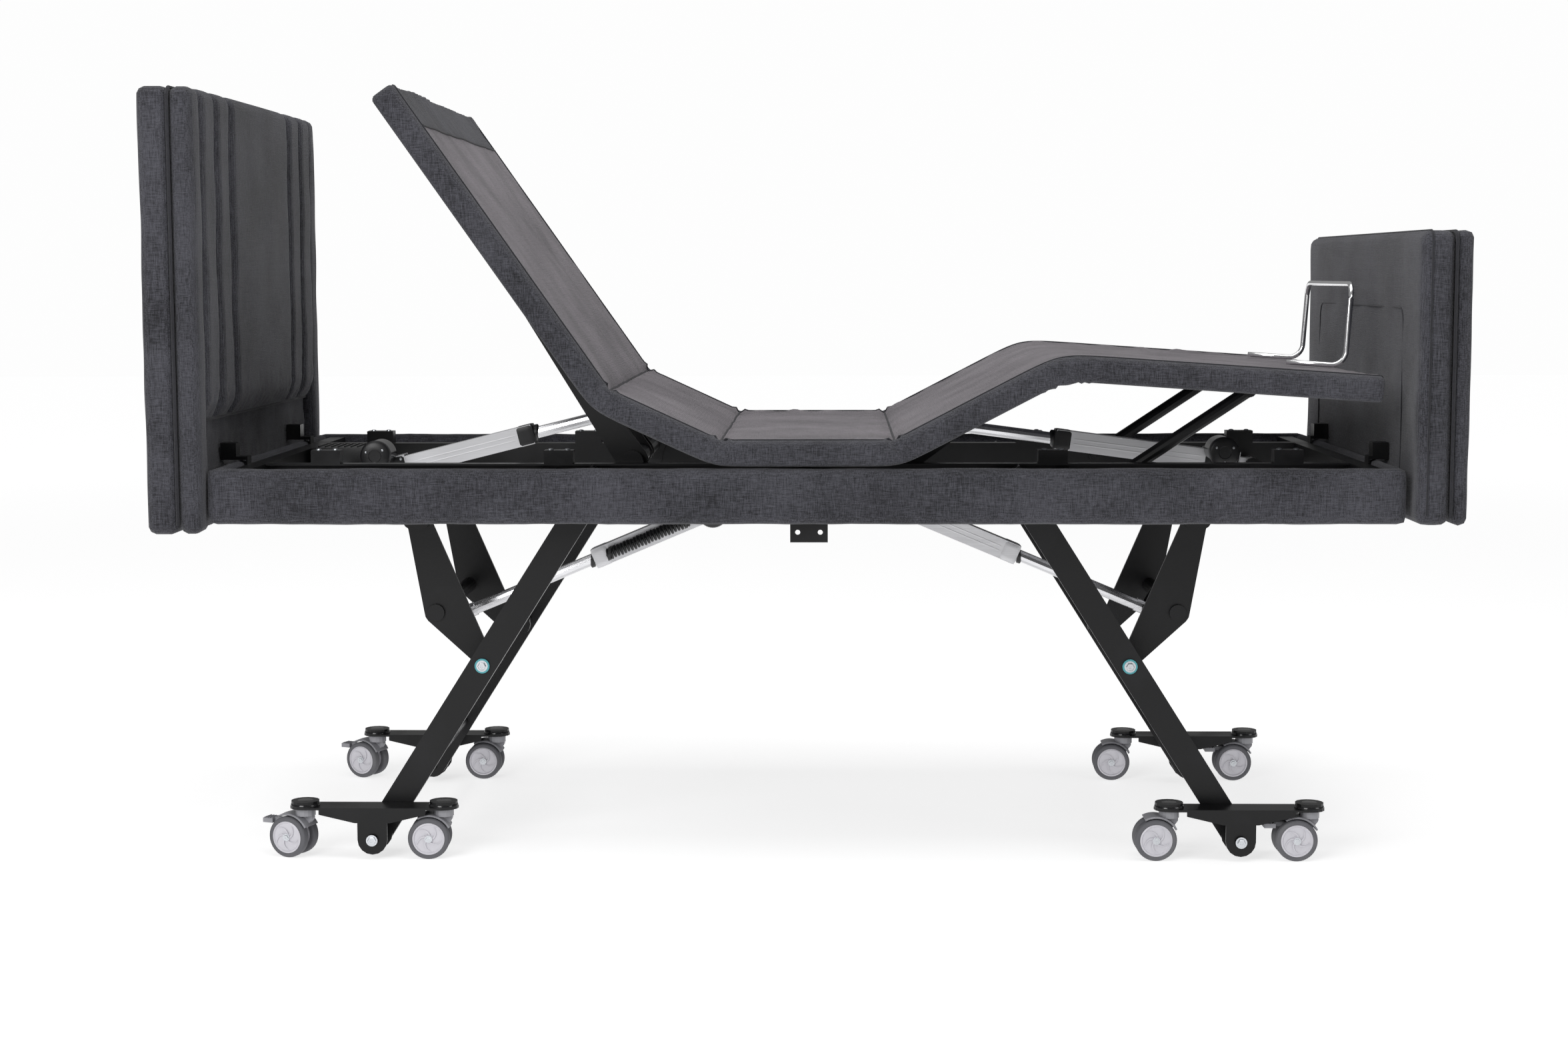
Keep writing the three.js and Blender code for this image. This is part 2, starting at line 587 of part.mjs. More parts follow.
// Two plates on a torsion tube, in the arm's own frame: x along the arm, z towards the deck.
function liftArm(circles, crank, tip) {
  const origin = at(0, 0);
  const plates = bothSides((y0, y1) => bandPlate(circles, y0, y1), ARM_PLATE_Y, ARM_PLATE_Y + ARM_PLATE);
  const tube = barY(origin, ARM_TUBE_RADIUS, -ARM_PLATE_Y - ARM_PLATE - 10, ARM_PLATE_Y + ARM_PLATE + 10);
  const rollers = bothSides((y0, y1) => barY(tip, 9, y0, y1), ARM_PLATE_Y - 12, ARM_PLATE_Y + 1);
  const lugInner = ACTUATOR_EYE_RADIUS + 4;
  const lugs = bothSides((y0, y1) => bandPlate([[origin, ARM_TUBE_RADIUS + 3], [crank, 12]], y0, y1),
    lugInner, lugInner + ARM_PLATE);
  const pin = barY(crank, OPEN_PIN_RADIUS, -lugInner - 1, lugInner + 1, 14);
  const bores = bothSides((y0, y1) => barY(origin, PIN_RADIUS + RUNNING_GAP, y0, y1),
    ARM_PLATE_Y - 20, ARM_PLATE_Y + ARM_PLATE + 20);
  return cut(join(plates, tube, rollers, lugs, pin), bores);
}

function addLiftArms() {
  const backEnd = at(BACK_ARM_LENGTH - 12, 4);
  const back = liftArm([[at(0, 0), 28], [backEnd, 12]], at(BACK_CRANK[0], BACK_CRANK[1]), backEnd);
  addNode('back_lift_arm', back.mirror([1, 0, 0]), blackSteel, { ...backArmPivot, angle: -BACK_ANGLE });
  const thighEnd = at(THIGH_ARM_LENGTH - 12, 26);
  const thigh = liftArm([[at(0, 0), 20], [thighEnd, 11]], at(THIGH_CRANK[0], THIGH_CRANK[1]), thighEnd);
  addNode('leg_lift_arm', thigh, blackSteel, { ...thighArmPivot, angle: THIGH_ANGLE });
}

function addCalfStruts() {
  for (const [side, y] of [['right', -STRUT_Y], ['left', STRUT_Y]]) {
    const hub = barY(at(0, 0), 15, -10, 10);
    const tip = barY(at(STRUT_LENGTH, 0), STRUT_RADIUS, -14, 14);
    const strut = cut(join(hub, barX(STRUT_RADIUS, 0, STRUT_LENGTH), tip),
      barY(at(0, 0), SMALL_PIN_RADIUS + RUNNING_GAP, -20, 20));
    addNode(`calf_strut_${side}`, strut, blackSteel, { ...strutPivot, y, angle: STRUT_ANGLE });
  }
}

// ---------------------------------------------------------------- actuators

// The housing in its own frame: x = 0 at the rear pivot and the rod leaves at x = length.
function actuatorHousing(length, rear, motorSide, motorAt) {
  const half = ACTUATOR_DEPTH / 2;
  const halfY = ACTUATOR_WIDTH / 2;
  const tube = box(34, length, -halfY, halfY, -half, half);
  const gearbox = box(26, 92, -halfY - 1, halfY + 1, -half - 2, half + 4);
  const near = motorSide * (halfY - 2);
  const far = motorSide * (halfY + ACTUATOR_MOTOR_LENGTH);
  const motor = barY(motorAt, ACTUATOR_MOTOR_RADIUS, Math.min(near, far), Math.max(near, far), 20);
  const bore = barX(ACTUATOR_ROD_RADIUS + RUNNING_GAP, 100, length + 1);
  return cut(join(tube, gearbox, motor, rear), bore);
}

// An eye on the rear end, for the mounts whose pin belongs to the chassis.
function rearEye() {
  const halfY = ACTUATOR_WIDTH / 2 - 4;
  const boss = barY(at(0, 0), ACTUATOR_EYE_RADIUS - 1, -halfY, halfY);
  const block = join(boss, box(0, 40, -halfY, halfY, -11, 11));
  return cut(block, barY(at(0, 0), SMALL_PIN_RADIUS + RUNNING_GAP, -halfY - 1, halfY + 1));
}

// A rear block with its own pin, for the slotted anchors.
function rearTrunnion() {
  const halfY = ACTUATOR_WIDTH / 2;
  const pinY = halfY + SIDE_GAP * 2 + PIVOT_EAR;
  return join(barY(at(0, 0), ACTUATOR_EYE_RADIUS, -halfY, halfY), box(0, 40, -halfY, halfY, -12, 12),
    barY(at(0, 0), SMALL_PIN_RADIUS, -pinY, pinY));
}

// The rod with its eye: x = 0 at the eye and the rod runs towards +x. play widens the eye.
function actuatorRod(exposed, pinRadius, play) {
  const hole = pinRadius + play;
  const eye = hole + ROD_EYE_WALL;
  const rod = barX(ACTUATOR_ROD_RADIUS, eye - 3, exposed + ACTUATOR_ROD_INSERT);
  const collar = barX(ACTUATOR_ROD_RADIUS + 2, eye - 2, eye + 16);
  const ring = barY(at(0, 0), eye, -ACTUATOR_EYE_RADIUS, ACTUATOR_EYE_RADIUS, 16);
  return cut(join(rod, collar, ring), barY(at(0, 0), hole, -30, 30));
}

function addActuator(name, rearPivot, eyePivot, y, exposed, housing, rod) {
  const length = distance(rearPivot, eyePivot) - exposed;
  addNode(`${name}_housing`, housing(length), aluminium,
    { ...rearPivot, y, angle: angleOf(rearPivot, eyePivot) });
  addNode(`${name}_rod`, rod(exposed), aluminium,
    { ...eyePivot, y, angle: angleOf(eyePivot, rearPivot) });
  return length;
}

function addActuators() {
  const openRod = (exposed) => actuatorRod(exposed, OPEN_PIN_RADIUS, OPEN_EYE_PLAY);
  addActuator('back_actuator', backActuatorPivot, backCrank, 0, BACK_ROD_EXPOSED,
    (length) => actuatorHousing(length, rearEye(), -1, at(52, 34)), openRod);
  addActuator('leg_actuator', thighActuatorPivot, thighCrank, 0, THIGH_ROD_EXPOSED,
    (length) => actuatorHousing(length, rearEye(), -1, at(67, -20)), openRod);
  for (const [end, lift] of Object.entries(lifts)) {
    const outward = end === 'head' ? -1 : 1;
    addActuator(`${end}_lift_actuator`, lift.anchor, lift.lug, outward * LIFT_ACTUATOR_Y, LIFT_ROD_EXPOSED,
      (length) => actuatorHousing(length, rearTrunnion(), outward, at(LIFT_MOTOR_AT, 0)),
      (exposed) => actuatorRod(exposed, SMALL_PIN_RADIUS, RUNNING_GAP));
    addCurlyCord(end, lift, outward);
  }
}

// The outer shape of a curly cord, clipped along the outer side of a lift actuator's tube.
function addCurlyCord(end, lift, outward) {
  const y = outward * (LIFT_ACTUATOR_Y + ACTUATOR_WIDTH / 2 + CURL_RADIUS + SIDE_GAP);
  const start = distance(lift.anchor, lift.lug) - LIFT_ROD_EXPOSED - CURL_LENGTH - 20;
  addNode(`${end}_curly_cord`, barX(CURL_RADIUS, start, start + CURL_LENGTH, 12), blackPlastic,
    { ...lift.anchor, y, angle: angleOf(lift.anchor, lift.lug) });
}

// ---------------------------------------------------------------- link frames and legs

function linkFrame(lift, outward) {
  const inward = Math.sign(lift.middle.x - lift.pivot.x);
  const heel = at(lift.middle.x - inward * 14, lift.middle.z - 6);
  const outer = LINK_PLATE_Y + LINK_PLATE;
  const plates = bothSides((y0, y1) => join(
    bandPlate([[lift.pivot, 20.5], [lift.boss, LINK_BOSS_RADIUS], [heel, 16]], y0, y1),
    bandPlate([[lift.middle, 22]], y0, y1)), LINK_PLATE_Y, outer);
  const tubes = [lift.pivot, lift.boss].map((p) =>
    barY(p, LINK_TUBE_RADIUS, -LINK_PLATE_Y - 1, LINK_PLATE_Y + 1));
  const caps = bothSides((y0, y1) => barY(lift.boss, 15.5, y0, y1), outer - 1, outer + 6);
  const axles = bothSides((y0, y1) => barY(lift.middle, LINK_TUBE_RADIUS, y0, y1),
    LINK_PLATE_Y + 1, legInnerY - SIDE_GAP);
  const stubs = bothSides((y0, y1) => barY(lift.middle, PIN_RADIUS, y0, y1),
    legInnerY - SIDE_GAP * 2, legOuterY + SIDE_GAP * 2);
  const washerY = legOuterY + SIDE_GAP;
  const washers = bothSides((y0, y1) => barY(lift.middle, 10.5, y0, y1), washerY, washerY + 3);
  const y = outward * LIFT_ACTUATOR_Y;
  const lugInner = ACTUATOR_EYE_RADIUS + SIDE_GAP * 2;
  const lug = [[lift.boss, 20], [lift.lug, ACTUATOR_EYE_RADIUS]];
  const lugs = bothSides((y0, y1) => bandPlate(lug, y + y0, y + y1), lugInner, lugInner + PIVOT_EAR);
  const pin = barY(lift.lug, SMALL_PIN_RADIUS, y - lugInner - 1, y + lugInner + 1);
  const bores = bothSides((y0, y1) => barY(lift.pivot, PIN_RADIUS + RUNNING_GAP, y0, y1),
    LINK_PLATE_Y - 8, outer + 1);
  return cut(join(plates, tubes, caps, axles, stubs, washers, lugs, pin), bores);
}

// One leg in the frame's own axes: x = 0 at the bogie bolt, x = length at the roller in the rail.
function legTube(length, middle, side) {
  const half = LEG_DEPTH / 2;
  const [y0, y1] = side < 0 ? [-legOuterY, -legInnerY] : [legInnerY, legOuterY];
  const tube = join(box(0, length + LEG_HEAD, y0, y1, -half, half), barY(at(0, 0), half, y0, y1, 20));
  const inside = half - LEG_WALL;
  const hollow = box(half + 6, length + LEG_HEAD + 1, y0 + LEG_WALL, y1 - LEG_WALL, -inside, inside);
  const bores = [0, middle].map((x) => barY(at(x, 0), PIN_RADIUS + RUNNING_GAP, y0 - 1, y1 + 1));
  const rollerOuter = legInnerY - LEG_GAP - (RAIL_WIDTH - RAIL_WALL - ROLLER_WIDTH) / 2;
  const rollerInner = rollerOuter - ROLLER_WIDTH;
  const span = (inner, outer) => (side < 0 ? [-outer, -inner] : [inner, outer]);
  const stub = barY(at(length, 0), PIN_RADIUS, ...span(rollerOuter - 1, legInnerY + LEG_WALL));
  const roller = barY(at(length, 0), ROLLER_RADIUS, ...span(rollerInner, rollerOuter));
  return join(cut(tube, hollow, bores), stub, roller);
}

// Both legs and the tube that ties them together above the bogies.
function legFrame(length, middle) {
  const tie = barY(at(LEG_TIE_UP, 0), LINK_TUBE_RADIUS, -legInnerY - 1, legInnerY + 1);
  return join(legTube(length, middle, -1), legTube(length, middle, 1), tie);
}

function addLift(end, lift) {
  const outward = end === 'head' ? -1 : 1;
  addNode(`${end}_link_frame`, linkFrame(lift, outward), blackSteel);
  const frame = legFrame(distance(lift.bottom, lift.top), distance(lift.bottom, lift.middle));
  addNode(`${end}_leg_frame`, frame, blackSteel, { ...lift.bottom, angle: angleOf(lift.bottom, lift.top) });
}

// ---------------------------------------------------------------- bogies and casters

// A bogie in its own frame: x and y from its centre, z from the floor.
function bogieSolid(inwardY) {
  const halfL = BOGIE_LENGTH / 2;
  const halfW = BOGIE_WIDTH / 2;
  const under = bogieTop - BOGIE_PLATE;
  const stemX = halfL - halfW;
  const deck = join(box(-stemX, stemX, -halfW, halfW, under, bogieTop),
    barZ(-stemX, 0, halfW, under, bogieTop), barZ(stemX, 0, halfW, under, bogieTop));
  const caps = [-stemX, stemX].map((x) =>
    barZ(x, 0, BOGIE_CAP_RADIUS, bogieTop - 1, bogieTop + BOGIE_CAP_HEIGHT));
  const boltZ = bogieTop - BOGIE_EAR_DROP;
  const earHalf = BOGIE_EAR_WIDTH / 2;
  const gussetHalf = BOGIE_GUSSET_LENGTH / 2;
  const web = under - BOGIE_GUSSET_DEPTH;
  const shoulder = earHalf + 5;
  const gusset = [
    at(-gussetHalf, web), at(-shoulder, web - 15), at(shoulder, web - 15), at(gussetHalf, web),
    at(gussetHalf, under + 1), at(-gussetHalf, under + 1),
  ];
  const ears = [[-halfW, -halfW + BOGIE_PLATE], [halfW - BOGIE_PLATE, halfW]].map(([y0, y1]) =>
    join(plate(gusset, y0, y1), bandPlate([[at(0, boltZ), earHalf], [at(0, web - 15), earHalf]], y0, y1)));
  const boltInner = halfW + SIDE_GAP + LEG_WIDTH + 3;
  const boltOuter = halfW + 5;
  const boltY = inwardY > 0 ? [-boltOuter, boltInner] : [-boltInner, boltOuter];
  const bolt = barY(at(0, boltZ), PIN_RADIUS, ...boltY);
  const headY = inwardY > 0 ? [-boltOuter, -halfW] : [halfW, boltOuter];
  const head = barY(at(0, boltZ), 10.5, ...headY);
  return join(deck, caps, ears, bolt, head);
}

// A caster in its own frame: the stem is at x = 0, and the wheels trail towards -x.
function casterFork(braked) {
  const wheel = at(-CASTER_TRAIL, WHEEL_DIAMETER / 2);
  const halfWeb = WHEEL_SPACING / 2 - 2.5;
  const crown = bogieTop - BOGIE_PLATE - 0.8;
  const neck = barZ(0, 0, FORK_NECK_RADIUS, WHEEL_DIAMETER + 1, crown);
  const web = bandPlate([[wheel, 12], [at(-6, WHEEL_DIAMETER - 2), 10], [at(8, WHEEL_DIAMETER - 2), 8]],
    -halfWeb, halfWeb);
  const fork = join(neck, web, barZ(0, 0, halfWeb + 1, WHEEL_DIAMETER - 10, WHEEL_DIAMETER + 2));
  const pedalRoom = braked ? [box(-70, -16, -halfWeb - 1, halfWeb + 1, 57, WHEEL_DIAMETER + 12)] : [];
  return cut(fork, barY(wheel, WHEEL_AXLE_RADIUS + RUNNING_GAP, -20, 20), ...pedalRoom);
}

function wheelPair() {
  const half = WHEEL_SPACING / 2;
  const outer = half + WHEEL_WIDTH;
  const r = WHEEL_DIAMETER / 2;
  const profile = [[0, -outer], [r, -outer], [r, -half], [WHEEL_AXLE_RADIUS, -half],
    [WHEEL_AXLE_RADIUS, half], [r, half], [r, outer], [0, outer]];
  const geometry = new THREE.LatheGeometry(profile.map(([x, y]) => new THREE.Vector2(x, y)), WHEEL_SIDES);
  return toSolid(geometry);
}

function brakePedal() {
  const halfWeb = WHEEL_SPACING / 2 - 3;
  const z = WHEEL_DIAMETER - 14;
  const tail = -CASTER_TRAIL - PEDAL_REACH + PEDAL_LENGTH;
  const stem = box(tail - 1, -18, -halfWeb, halfWeb, z, z + PEDAL_THICKNESS);
  const halfTread = PEDAL_WIDTH / 2;
  const tread = box(tail - PEDAL_LENGTH, tail, -halfTread, halfTread, z - 2, z + PEDAL_THICKNESS - 1);
  return join(stem, tread);
}

function addBogies() {
  const stemX = BOGIE_LENGTH / 2 - BOGIE_WIDTH / 2;
  for (const [end, lift] of Object.entries(lifts)) {
    for (const [side, sign] of [['right', -1], ['left', 1]]) {
      const bogie = `${end}_${side}`;
      addNode(`${bogie}_bogie`, bogieSolid(-sign), blackSteel, { x: lift.bottom.x, y: sign * bogieY });
      for (const [place, outwardX] of [['outer', 1], ['inner', -1]]) {
        const endSign = end === 'head' ? -1 : 1;
        const caster = new THREE.Group();
        caster.position.set(lift.bottom.x + endSign * outwardX * stemX, sign * bogieY, 0);
        caster.rotation.z = rad(CASTER_TURNS[`${bogie}_${place}`]);
        bed.add(caster);
        const braked = place === 'outer';
        addNode(`${bogie}_${place}_fork`, casterFork(braked), greyPlastic, { parent: caster });
        addNode(`${bogie}_${place}_wheels`, wheelPair(), tyreRubber,
          { parent: caster, x: -CASTER_TRAIL, z: WHEEL_DIAMETER / 2 });
        if (braked) addNode(`${bogie}_brake_pedal`, brakePedal(), greyPlastic, { parent: caster });
      }
    }
  }
}

// ---------------------------------------------------------------- mattress retainer

// A bent bar that stands on the calf section, in that section's frame.
function addRetainer() {
  const x = calfLength - RETAINER_END_INSET;
  const lift = RETAINER_RADIUS + 0.5;
  const corner = (a, b, c) => {
    const p = new THREE.Vector3(...a);
    const q = new THREE.Vector3(...b);
    const r = new THREE.Vector3(...c);
    const from = q.clone().lerp(p, RETAINER_BEND / q.distanceTo(p));
    const to = q.clone().lerp(r, RETAINER_BEND / q.distanceTo(r));
    return [from, q, to];
  };
  const route = [
    [x - RETAINER_BASE, -RETAINER_HALF_WIDTH, lift], [x, -RETAINER_HALF_WIDTH, lift],
    [x, -RETAINER_HALF_WIDTH, RETAINER_HEIGHT], [x, RETAINER_HALF_WIDTH, RETAINER_HEIGHT],
    [x, RETAINER_HALF_WIDTH, lift], [x - RETAINER_BASE, RETAINER_HALF_WIDTH, lift],
  ];
  const path = new THREE.CurvePath();
  let last = new THREE.Vector3(...route[0]);
  for (let i = 1; i < route.length - 1; i++) {
    const [from, q, to] = corner(route[i - 1], route[i], route[i + 1]);
    path.add(new THREE.LineCurve3(last, from));
    path.add(new THREE.QuadraticBezierCurve3(from, q, to));
    last = to;
  }
  path.add(new THREE.LineCurve3(last, new THREE.Vector3(...route.at(-1))));
  const section = new THREE.Shape().absarc(0, 0, RETAINER_RADIUS, 0, 2 * Math.PI);
  const geometry = new THREE.ExtrudeGeometry(section, { steps: 44, extrudePath: path, curveSegments: 4 });
  const calfTop = local(kneeHinge, CALF_ANGLE, 0, DECK_THICKNESS);
  addNode('mattress_retainer', toSolid(geometry), chrome, { ...calfTop, angle: CALF_ANGLE });
}

// ---------------------------------------------------------------- assembly

addSurround();
addEndBoards();
addDeck();
addChassis();
addLiftArms();
addCalfStruts();
addActuators();
for (const [end, lift] of Object.entries(lifts)) addLift(end, lift);
addBogies();
addRetainer();

export default bed;
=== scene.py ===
import json
import math

import bmesh
import bpy
from mathutils import Matrix, Vector, noise


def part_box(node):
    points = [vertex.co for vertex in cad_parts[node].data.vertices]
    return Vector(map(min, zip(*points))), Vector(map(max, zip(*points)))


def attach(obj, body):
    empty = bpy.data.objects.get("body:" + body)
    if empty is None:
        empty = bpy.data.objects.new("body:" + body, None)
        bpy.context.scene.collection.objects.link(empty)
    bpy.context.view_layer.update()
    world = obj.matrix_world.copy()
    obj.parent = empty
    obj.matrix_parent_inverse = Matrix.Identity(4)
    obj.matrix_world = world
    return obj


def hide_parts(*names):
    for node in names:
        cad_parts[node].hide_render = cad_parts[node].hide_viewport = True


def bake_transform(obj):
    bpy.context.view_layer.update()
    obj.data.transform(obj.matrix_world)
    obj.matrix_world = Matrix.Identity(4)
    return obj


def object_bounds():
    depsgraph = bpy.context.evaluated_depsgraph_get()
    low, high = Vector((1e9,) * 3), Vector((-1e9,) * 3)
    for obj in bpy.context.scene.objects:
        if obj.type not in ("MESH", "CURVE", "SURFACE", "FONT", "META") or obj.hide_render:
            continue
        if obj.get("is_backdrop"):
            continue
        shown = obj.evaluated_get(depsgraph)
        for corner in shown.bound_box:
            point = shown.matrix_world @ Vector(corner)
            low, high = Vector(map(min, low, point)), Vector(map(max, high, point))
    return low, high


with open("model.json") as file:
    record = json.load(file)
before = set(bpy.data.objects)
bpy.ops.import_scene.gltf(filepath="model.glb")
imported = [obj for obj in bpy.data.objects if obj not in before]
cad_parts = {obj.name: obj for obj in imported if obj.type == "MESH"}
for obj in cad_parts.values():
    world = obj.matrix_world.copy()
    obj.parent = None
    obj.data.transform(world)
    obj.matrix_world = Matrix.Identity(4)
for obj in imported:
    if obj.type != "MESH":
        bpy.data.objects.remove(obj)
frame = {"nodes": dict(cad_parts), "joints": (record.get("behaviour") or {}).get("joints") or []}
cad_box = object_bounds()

# ---------------------------------------------------------------- camera
# A portrait lens on a stand beside the bed, a little above the raised deck and tipped down.

CAMERA_PLACE = (0.05157, -4.6154, 1.03704)
CAMERA_YAW = math.radians(-1.183)
CAMERA_PITCH = math.radians(5.848)
CAMERA_ROLL = math.radians(-0.122)
SENSOR_WIDTH_MM, LENS_MM = 36, 56.107

camera = bpy.data.objects.new("camera", bpy.data.cameras.new("camera"))
bpy.context.scene.collection.objects.link(camera)
camera.data.sensor_width = SENSOR_WIDTH_MM
camera.data.lens = LENS_MM
forward = Vector((
    math.sin(CAMERA_YAW) * math.cos(CAMERA_PITCH),
    math.cos(CAMERA_YAW) * math.cos(CAMERA_PITCH),
    -math.sin(CAMERA_PITCH),
))
level = Vector((math.cos(CAMERA_YAW), -math.sin(CAMERA_YAW), 0))
upward = level.cross(forward)
right = level * math.cos(CAMERA_ROLL) + upward * math.sin(CAMERA_ROLL)
top = upward * math.cos(CAMERA_ROLL) - level * math.sin(CAMERA_ROLL)
orientation = Matrix((right, top, -forward)).transposed().to_4x4()
camera.matrix_world = Matrix.Translation(CAMERA_PLACE) @ orientation
bpy.context.scene.camera = camera

# ---------------------------------------------------------------- studio
# A pale seamless floor, white surroundings and three large soft lights, as in a furniture studio.
# The floor glows a little more with distance, so that it runs into the backdrop without an edge.

FLOOR_SIZE = 40
BACKDROP_WHITE, ROOM_WHITE = 0.985, 0.26
NEAR_FLOOR, FAR_FLOOR = 2.0, 9.0
NEAR_GLOW, FAR_GLOW = 0.70, 0.84


def add_light(name, place, aim, size, power):
    """A soft rectangular light of size metres at place, pointed at aim."""
    lamp = bpy.data.lights.new(name, "AREA")
    lamp.shape = "RECTANGLE"
    lamp.size, lamp.size_y = size
    lamp.energy = power
    thing = bpy.data.objects.new(name, lamp)
    thing.location = place
    thing.rotation_euler = (Vector(aim) - Vector(place)).to_track_quat("-Z", "Y").to_euler()
    bpy.context.scene.collection.objects.link(thing)


add_light("overhead_light", (0, -0.6, 4.2), (0, 0, 0.5), (4.5, 3.0), 118)
add_light("front_light", (-2.6, -4.6, 2.6), (0, 0, 0.7), (2.5, 2.0), 122)
add_light("side_light", (4.2, -2.2, 2.2), (0.2, 0, 0.7), (2.0, 2.0), 30)

bpy.context.scene.view_settings.view_transform = "Standard"


def new_material(name, roughness=0.5, metallic=0.0, **sockets):
    """A material with a Principled shader whose plain values sit on its own sockets."""
    material = bpy.data.materials.new(name)
    material.use_nodes = True
    shader = material.node_tree.nodes["Principled BSDF"]
    shader.inputs["Roughness"].default_value = roughness
    shader.inputs["Metallic"].default_value = metallic
    for socket, value in sockets.items():
        shader.inputs[socket.replace("_", " ")].default_value = value
    return material


def add_node(tree, kind, links=(), **settings):
    """A node with its attributes set, and its inputs set to values or linked to sockets."""
    node = tree.nodes.new(kind)
    for key, value in settings.items():
        setattr(node, key, value)
    for key, value in dict(links).items():
        if isinstance(value, bpy.types.NodeSocket):
            tree.links.new(value, node.inputs[key])
        else:
            node.inputs[key].default_value = value
    return node


world = bpy.data.worlds.new("studio")
world.use_nodes = True
backdrop = world.node_tree.nodes["Background"]
backdrop.inputs["Color"].default_value = (1, 1, 1, 1)
seen = add_node(world.node_tree, "ShaderNodeLightPath")
room = add_node(world.node_tree, "ShaderNodeMapRange", {
    "Value": seen.outputs["Is Camera Ray"], "To Min": ROOM_WHITE, "To Max": BACKDROP_WHITE,
})
world.node_tree.links.new(room.outputs["Result"], backdrop.inputs["Strength"])
bpy.context.scene.world = world

floor_paint = new_material("floor_paint", 0.7, Emission_Color=(1, 1, 1, 1))
floor_tree = floor_paint.node_tree
floor_noise = add_node(floor_tree, "ShaderNodeTexNoise", {"Scale": 3.0})
floor_tint = add_node(floor_tree, "ShaderNodeMixRGB", {
    "Fac": floor_noise.outputs["Fac"], "Color1": (0.52, 0.52, 0.52, 1), "Color2": (0.54, 0.54, 0.545, 1),
})
floor_place = add_node(floor_tree, "ShaderNodeTexCoord")
floor_reach = add_node(floor_tree, "ShaderNodeVectorMath", {
    0: floor_place.outputs["Object"],
}, operation="LENGTH")
floor_glow = add_node(floor_tree, "ShaderNodeMapRange", {
    "Value": floor_reach.outputs["Value"], "From Min": NEAR_FLOOR, "From Max": FAR_FLOOR,
    "To Min": NEAR_GLOW, "To Max": FAR_GLOW,
})
floor_shader = floor_tree.nodes["Principled BSDF"]
floor_tree.links.new(floor_tint.outputs[0], floor_shader.inputs["Base Color"])
floor_tree.links.new(floor_glow.outputs["Result"], floor_shader.inputs["Emission Strength"])
bpy.ops.mesh.primitive_plane_add(size=FLOOR_SIZE)
floor = bpy.context.object
floor.name = "studio_floor"
floor.data.materials.append(floor_paint)
floor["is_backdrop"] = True

# ---------------------------------------------------------------- powder-coated steel
# Chassis, legs, link frames, lift arms and bogies: mild steel with a satin black powder coat.
# The coat has a fine orange peel, and is a little greyer and duller where hands and boots rub.


def new_group(name, inputs, outputs):
    """A shader node group with named sockets: {name: (type, default)} in, {name: type} out."""
    group = bpy.data.node_groups.new(name, "ShaderNodeTree")
    for key, (kind, value) in inputs.items():
        socket = group.interface.new_socket(name=key, in_out="INPUT", socket_type=kind)
        socket.default_value = value
    for key, kind in outputs.items():
        group.interface.new_socket(name=key, in_out="OUTPUT", socket_type=kind)
    return group, group.nodes.new("NodeGroupInput"), group.nodes.new("NodeGroupOutput")


FLOAT, COLOR = "NodeSocketFloat", "NodeSocketColor"

coat_group, coat_in, coat_out = new_group(
    "painted surface",
    {"Colour": (COLOR, (0.01, 0.01, 0.01, 1)), "Worn Colour": (COLOR, (0.05, 0.05, 0.05, 1)),
     "Wear": (FLOAT, 0.3), "Grain Size": (FLOAT, 900.0), "Roughness": (FLOAT, 0.4)},
    {"Colour": COLOR, "Roughness": FLOAT, "Height": FLOAT},
)
coat_place = add_node(coat_group, "ShaderNodeTexCoord")
coat_patches = add_node(coat_group, "ShaderNodeTexNoise", {
    "Vector": coat_place.outputs["Object"], "Scale": 9.0, "Detail": 6.0,
})
coat_ramp = add_node(coat_group, "ShaderNodeMapRange", {
    "Value": coat_patches.outputs["Fac"], "From Min": 0.52, "From Max": 0.78,
    "To Min": 0.0, "To Max": coat_in.outputs["Wear"],
})
coat_tint = add_node(coat_group, "ShaderNodeMixRGB", {
    "Fac": coat_ramp.outputs["Result"],
    "Color1": coat_in.outputs["Colour"], "Color2": coat_in.outputs["Worn Colour"],
})
coat_gloss = add_node(coat_group, "ShaderNodeMath", {
    0: coat_ramp.outputs["Result"], 1: 0.35, 2: coat_in.outputs["Roughness"],
}, operation="MULTIPLY_ADD")
coat_peel = add_node(coat_group, "ShaderNodeTexNoise", {
    "Vector": coat_place.outputs["Object"], "Scale": coat_in.outputs["Grain Size"], "Detail": 2.0,
})
coat_group.links.new(coat_tint.outputs[0], coat_out.inputs["Colour"])
coat_group.links.new(coat_gloss.outputs[0], coat_out.inputs["Roughness"])
coat_group.links.new(coat_peel.outputs["Fac"], coat_out.inputs["Height"])


def painted(name, colour, worn, wear, grain, roughness, bump, metallic=0.0, **sockets):
    """A material that places the painted surface group, with a bump as deep as bump metres."""
    material = new_material(name, roughness, metallic, **sockets)
    tree = material.node_tree
    shader = tree.nodes["Principled BSDF"]
    surface = add_node(tree, "ShaderNodeGroup", node_tree=coat_group)
    surface.inputs["Colour"].default_value = (*colour, 1)
    surface.inputs["Worn Colour"].default_value = (*worn, 1)
    surface.inputs["Wear"].default_value = wear
    surface.inputs["Grain Size"].default_value = grain
    surface.inputs["Roughness"].default_value = roughness
    relief = add_node(tree, "ShaderNodeBump", {
        "Height": surface.outputs["Height"], "Distance": bump, "Strength": 0.6,
    })
    tree.links.new(surface.outputs["Colour"], shader.inputs["Base Color"])
    tree.links.new(surface.outputs["Roughness"], shader.inputs["Roughness"])
    tree.links.new(relief.outputs["Normal"], shader.inputs["Normal"])
    return material


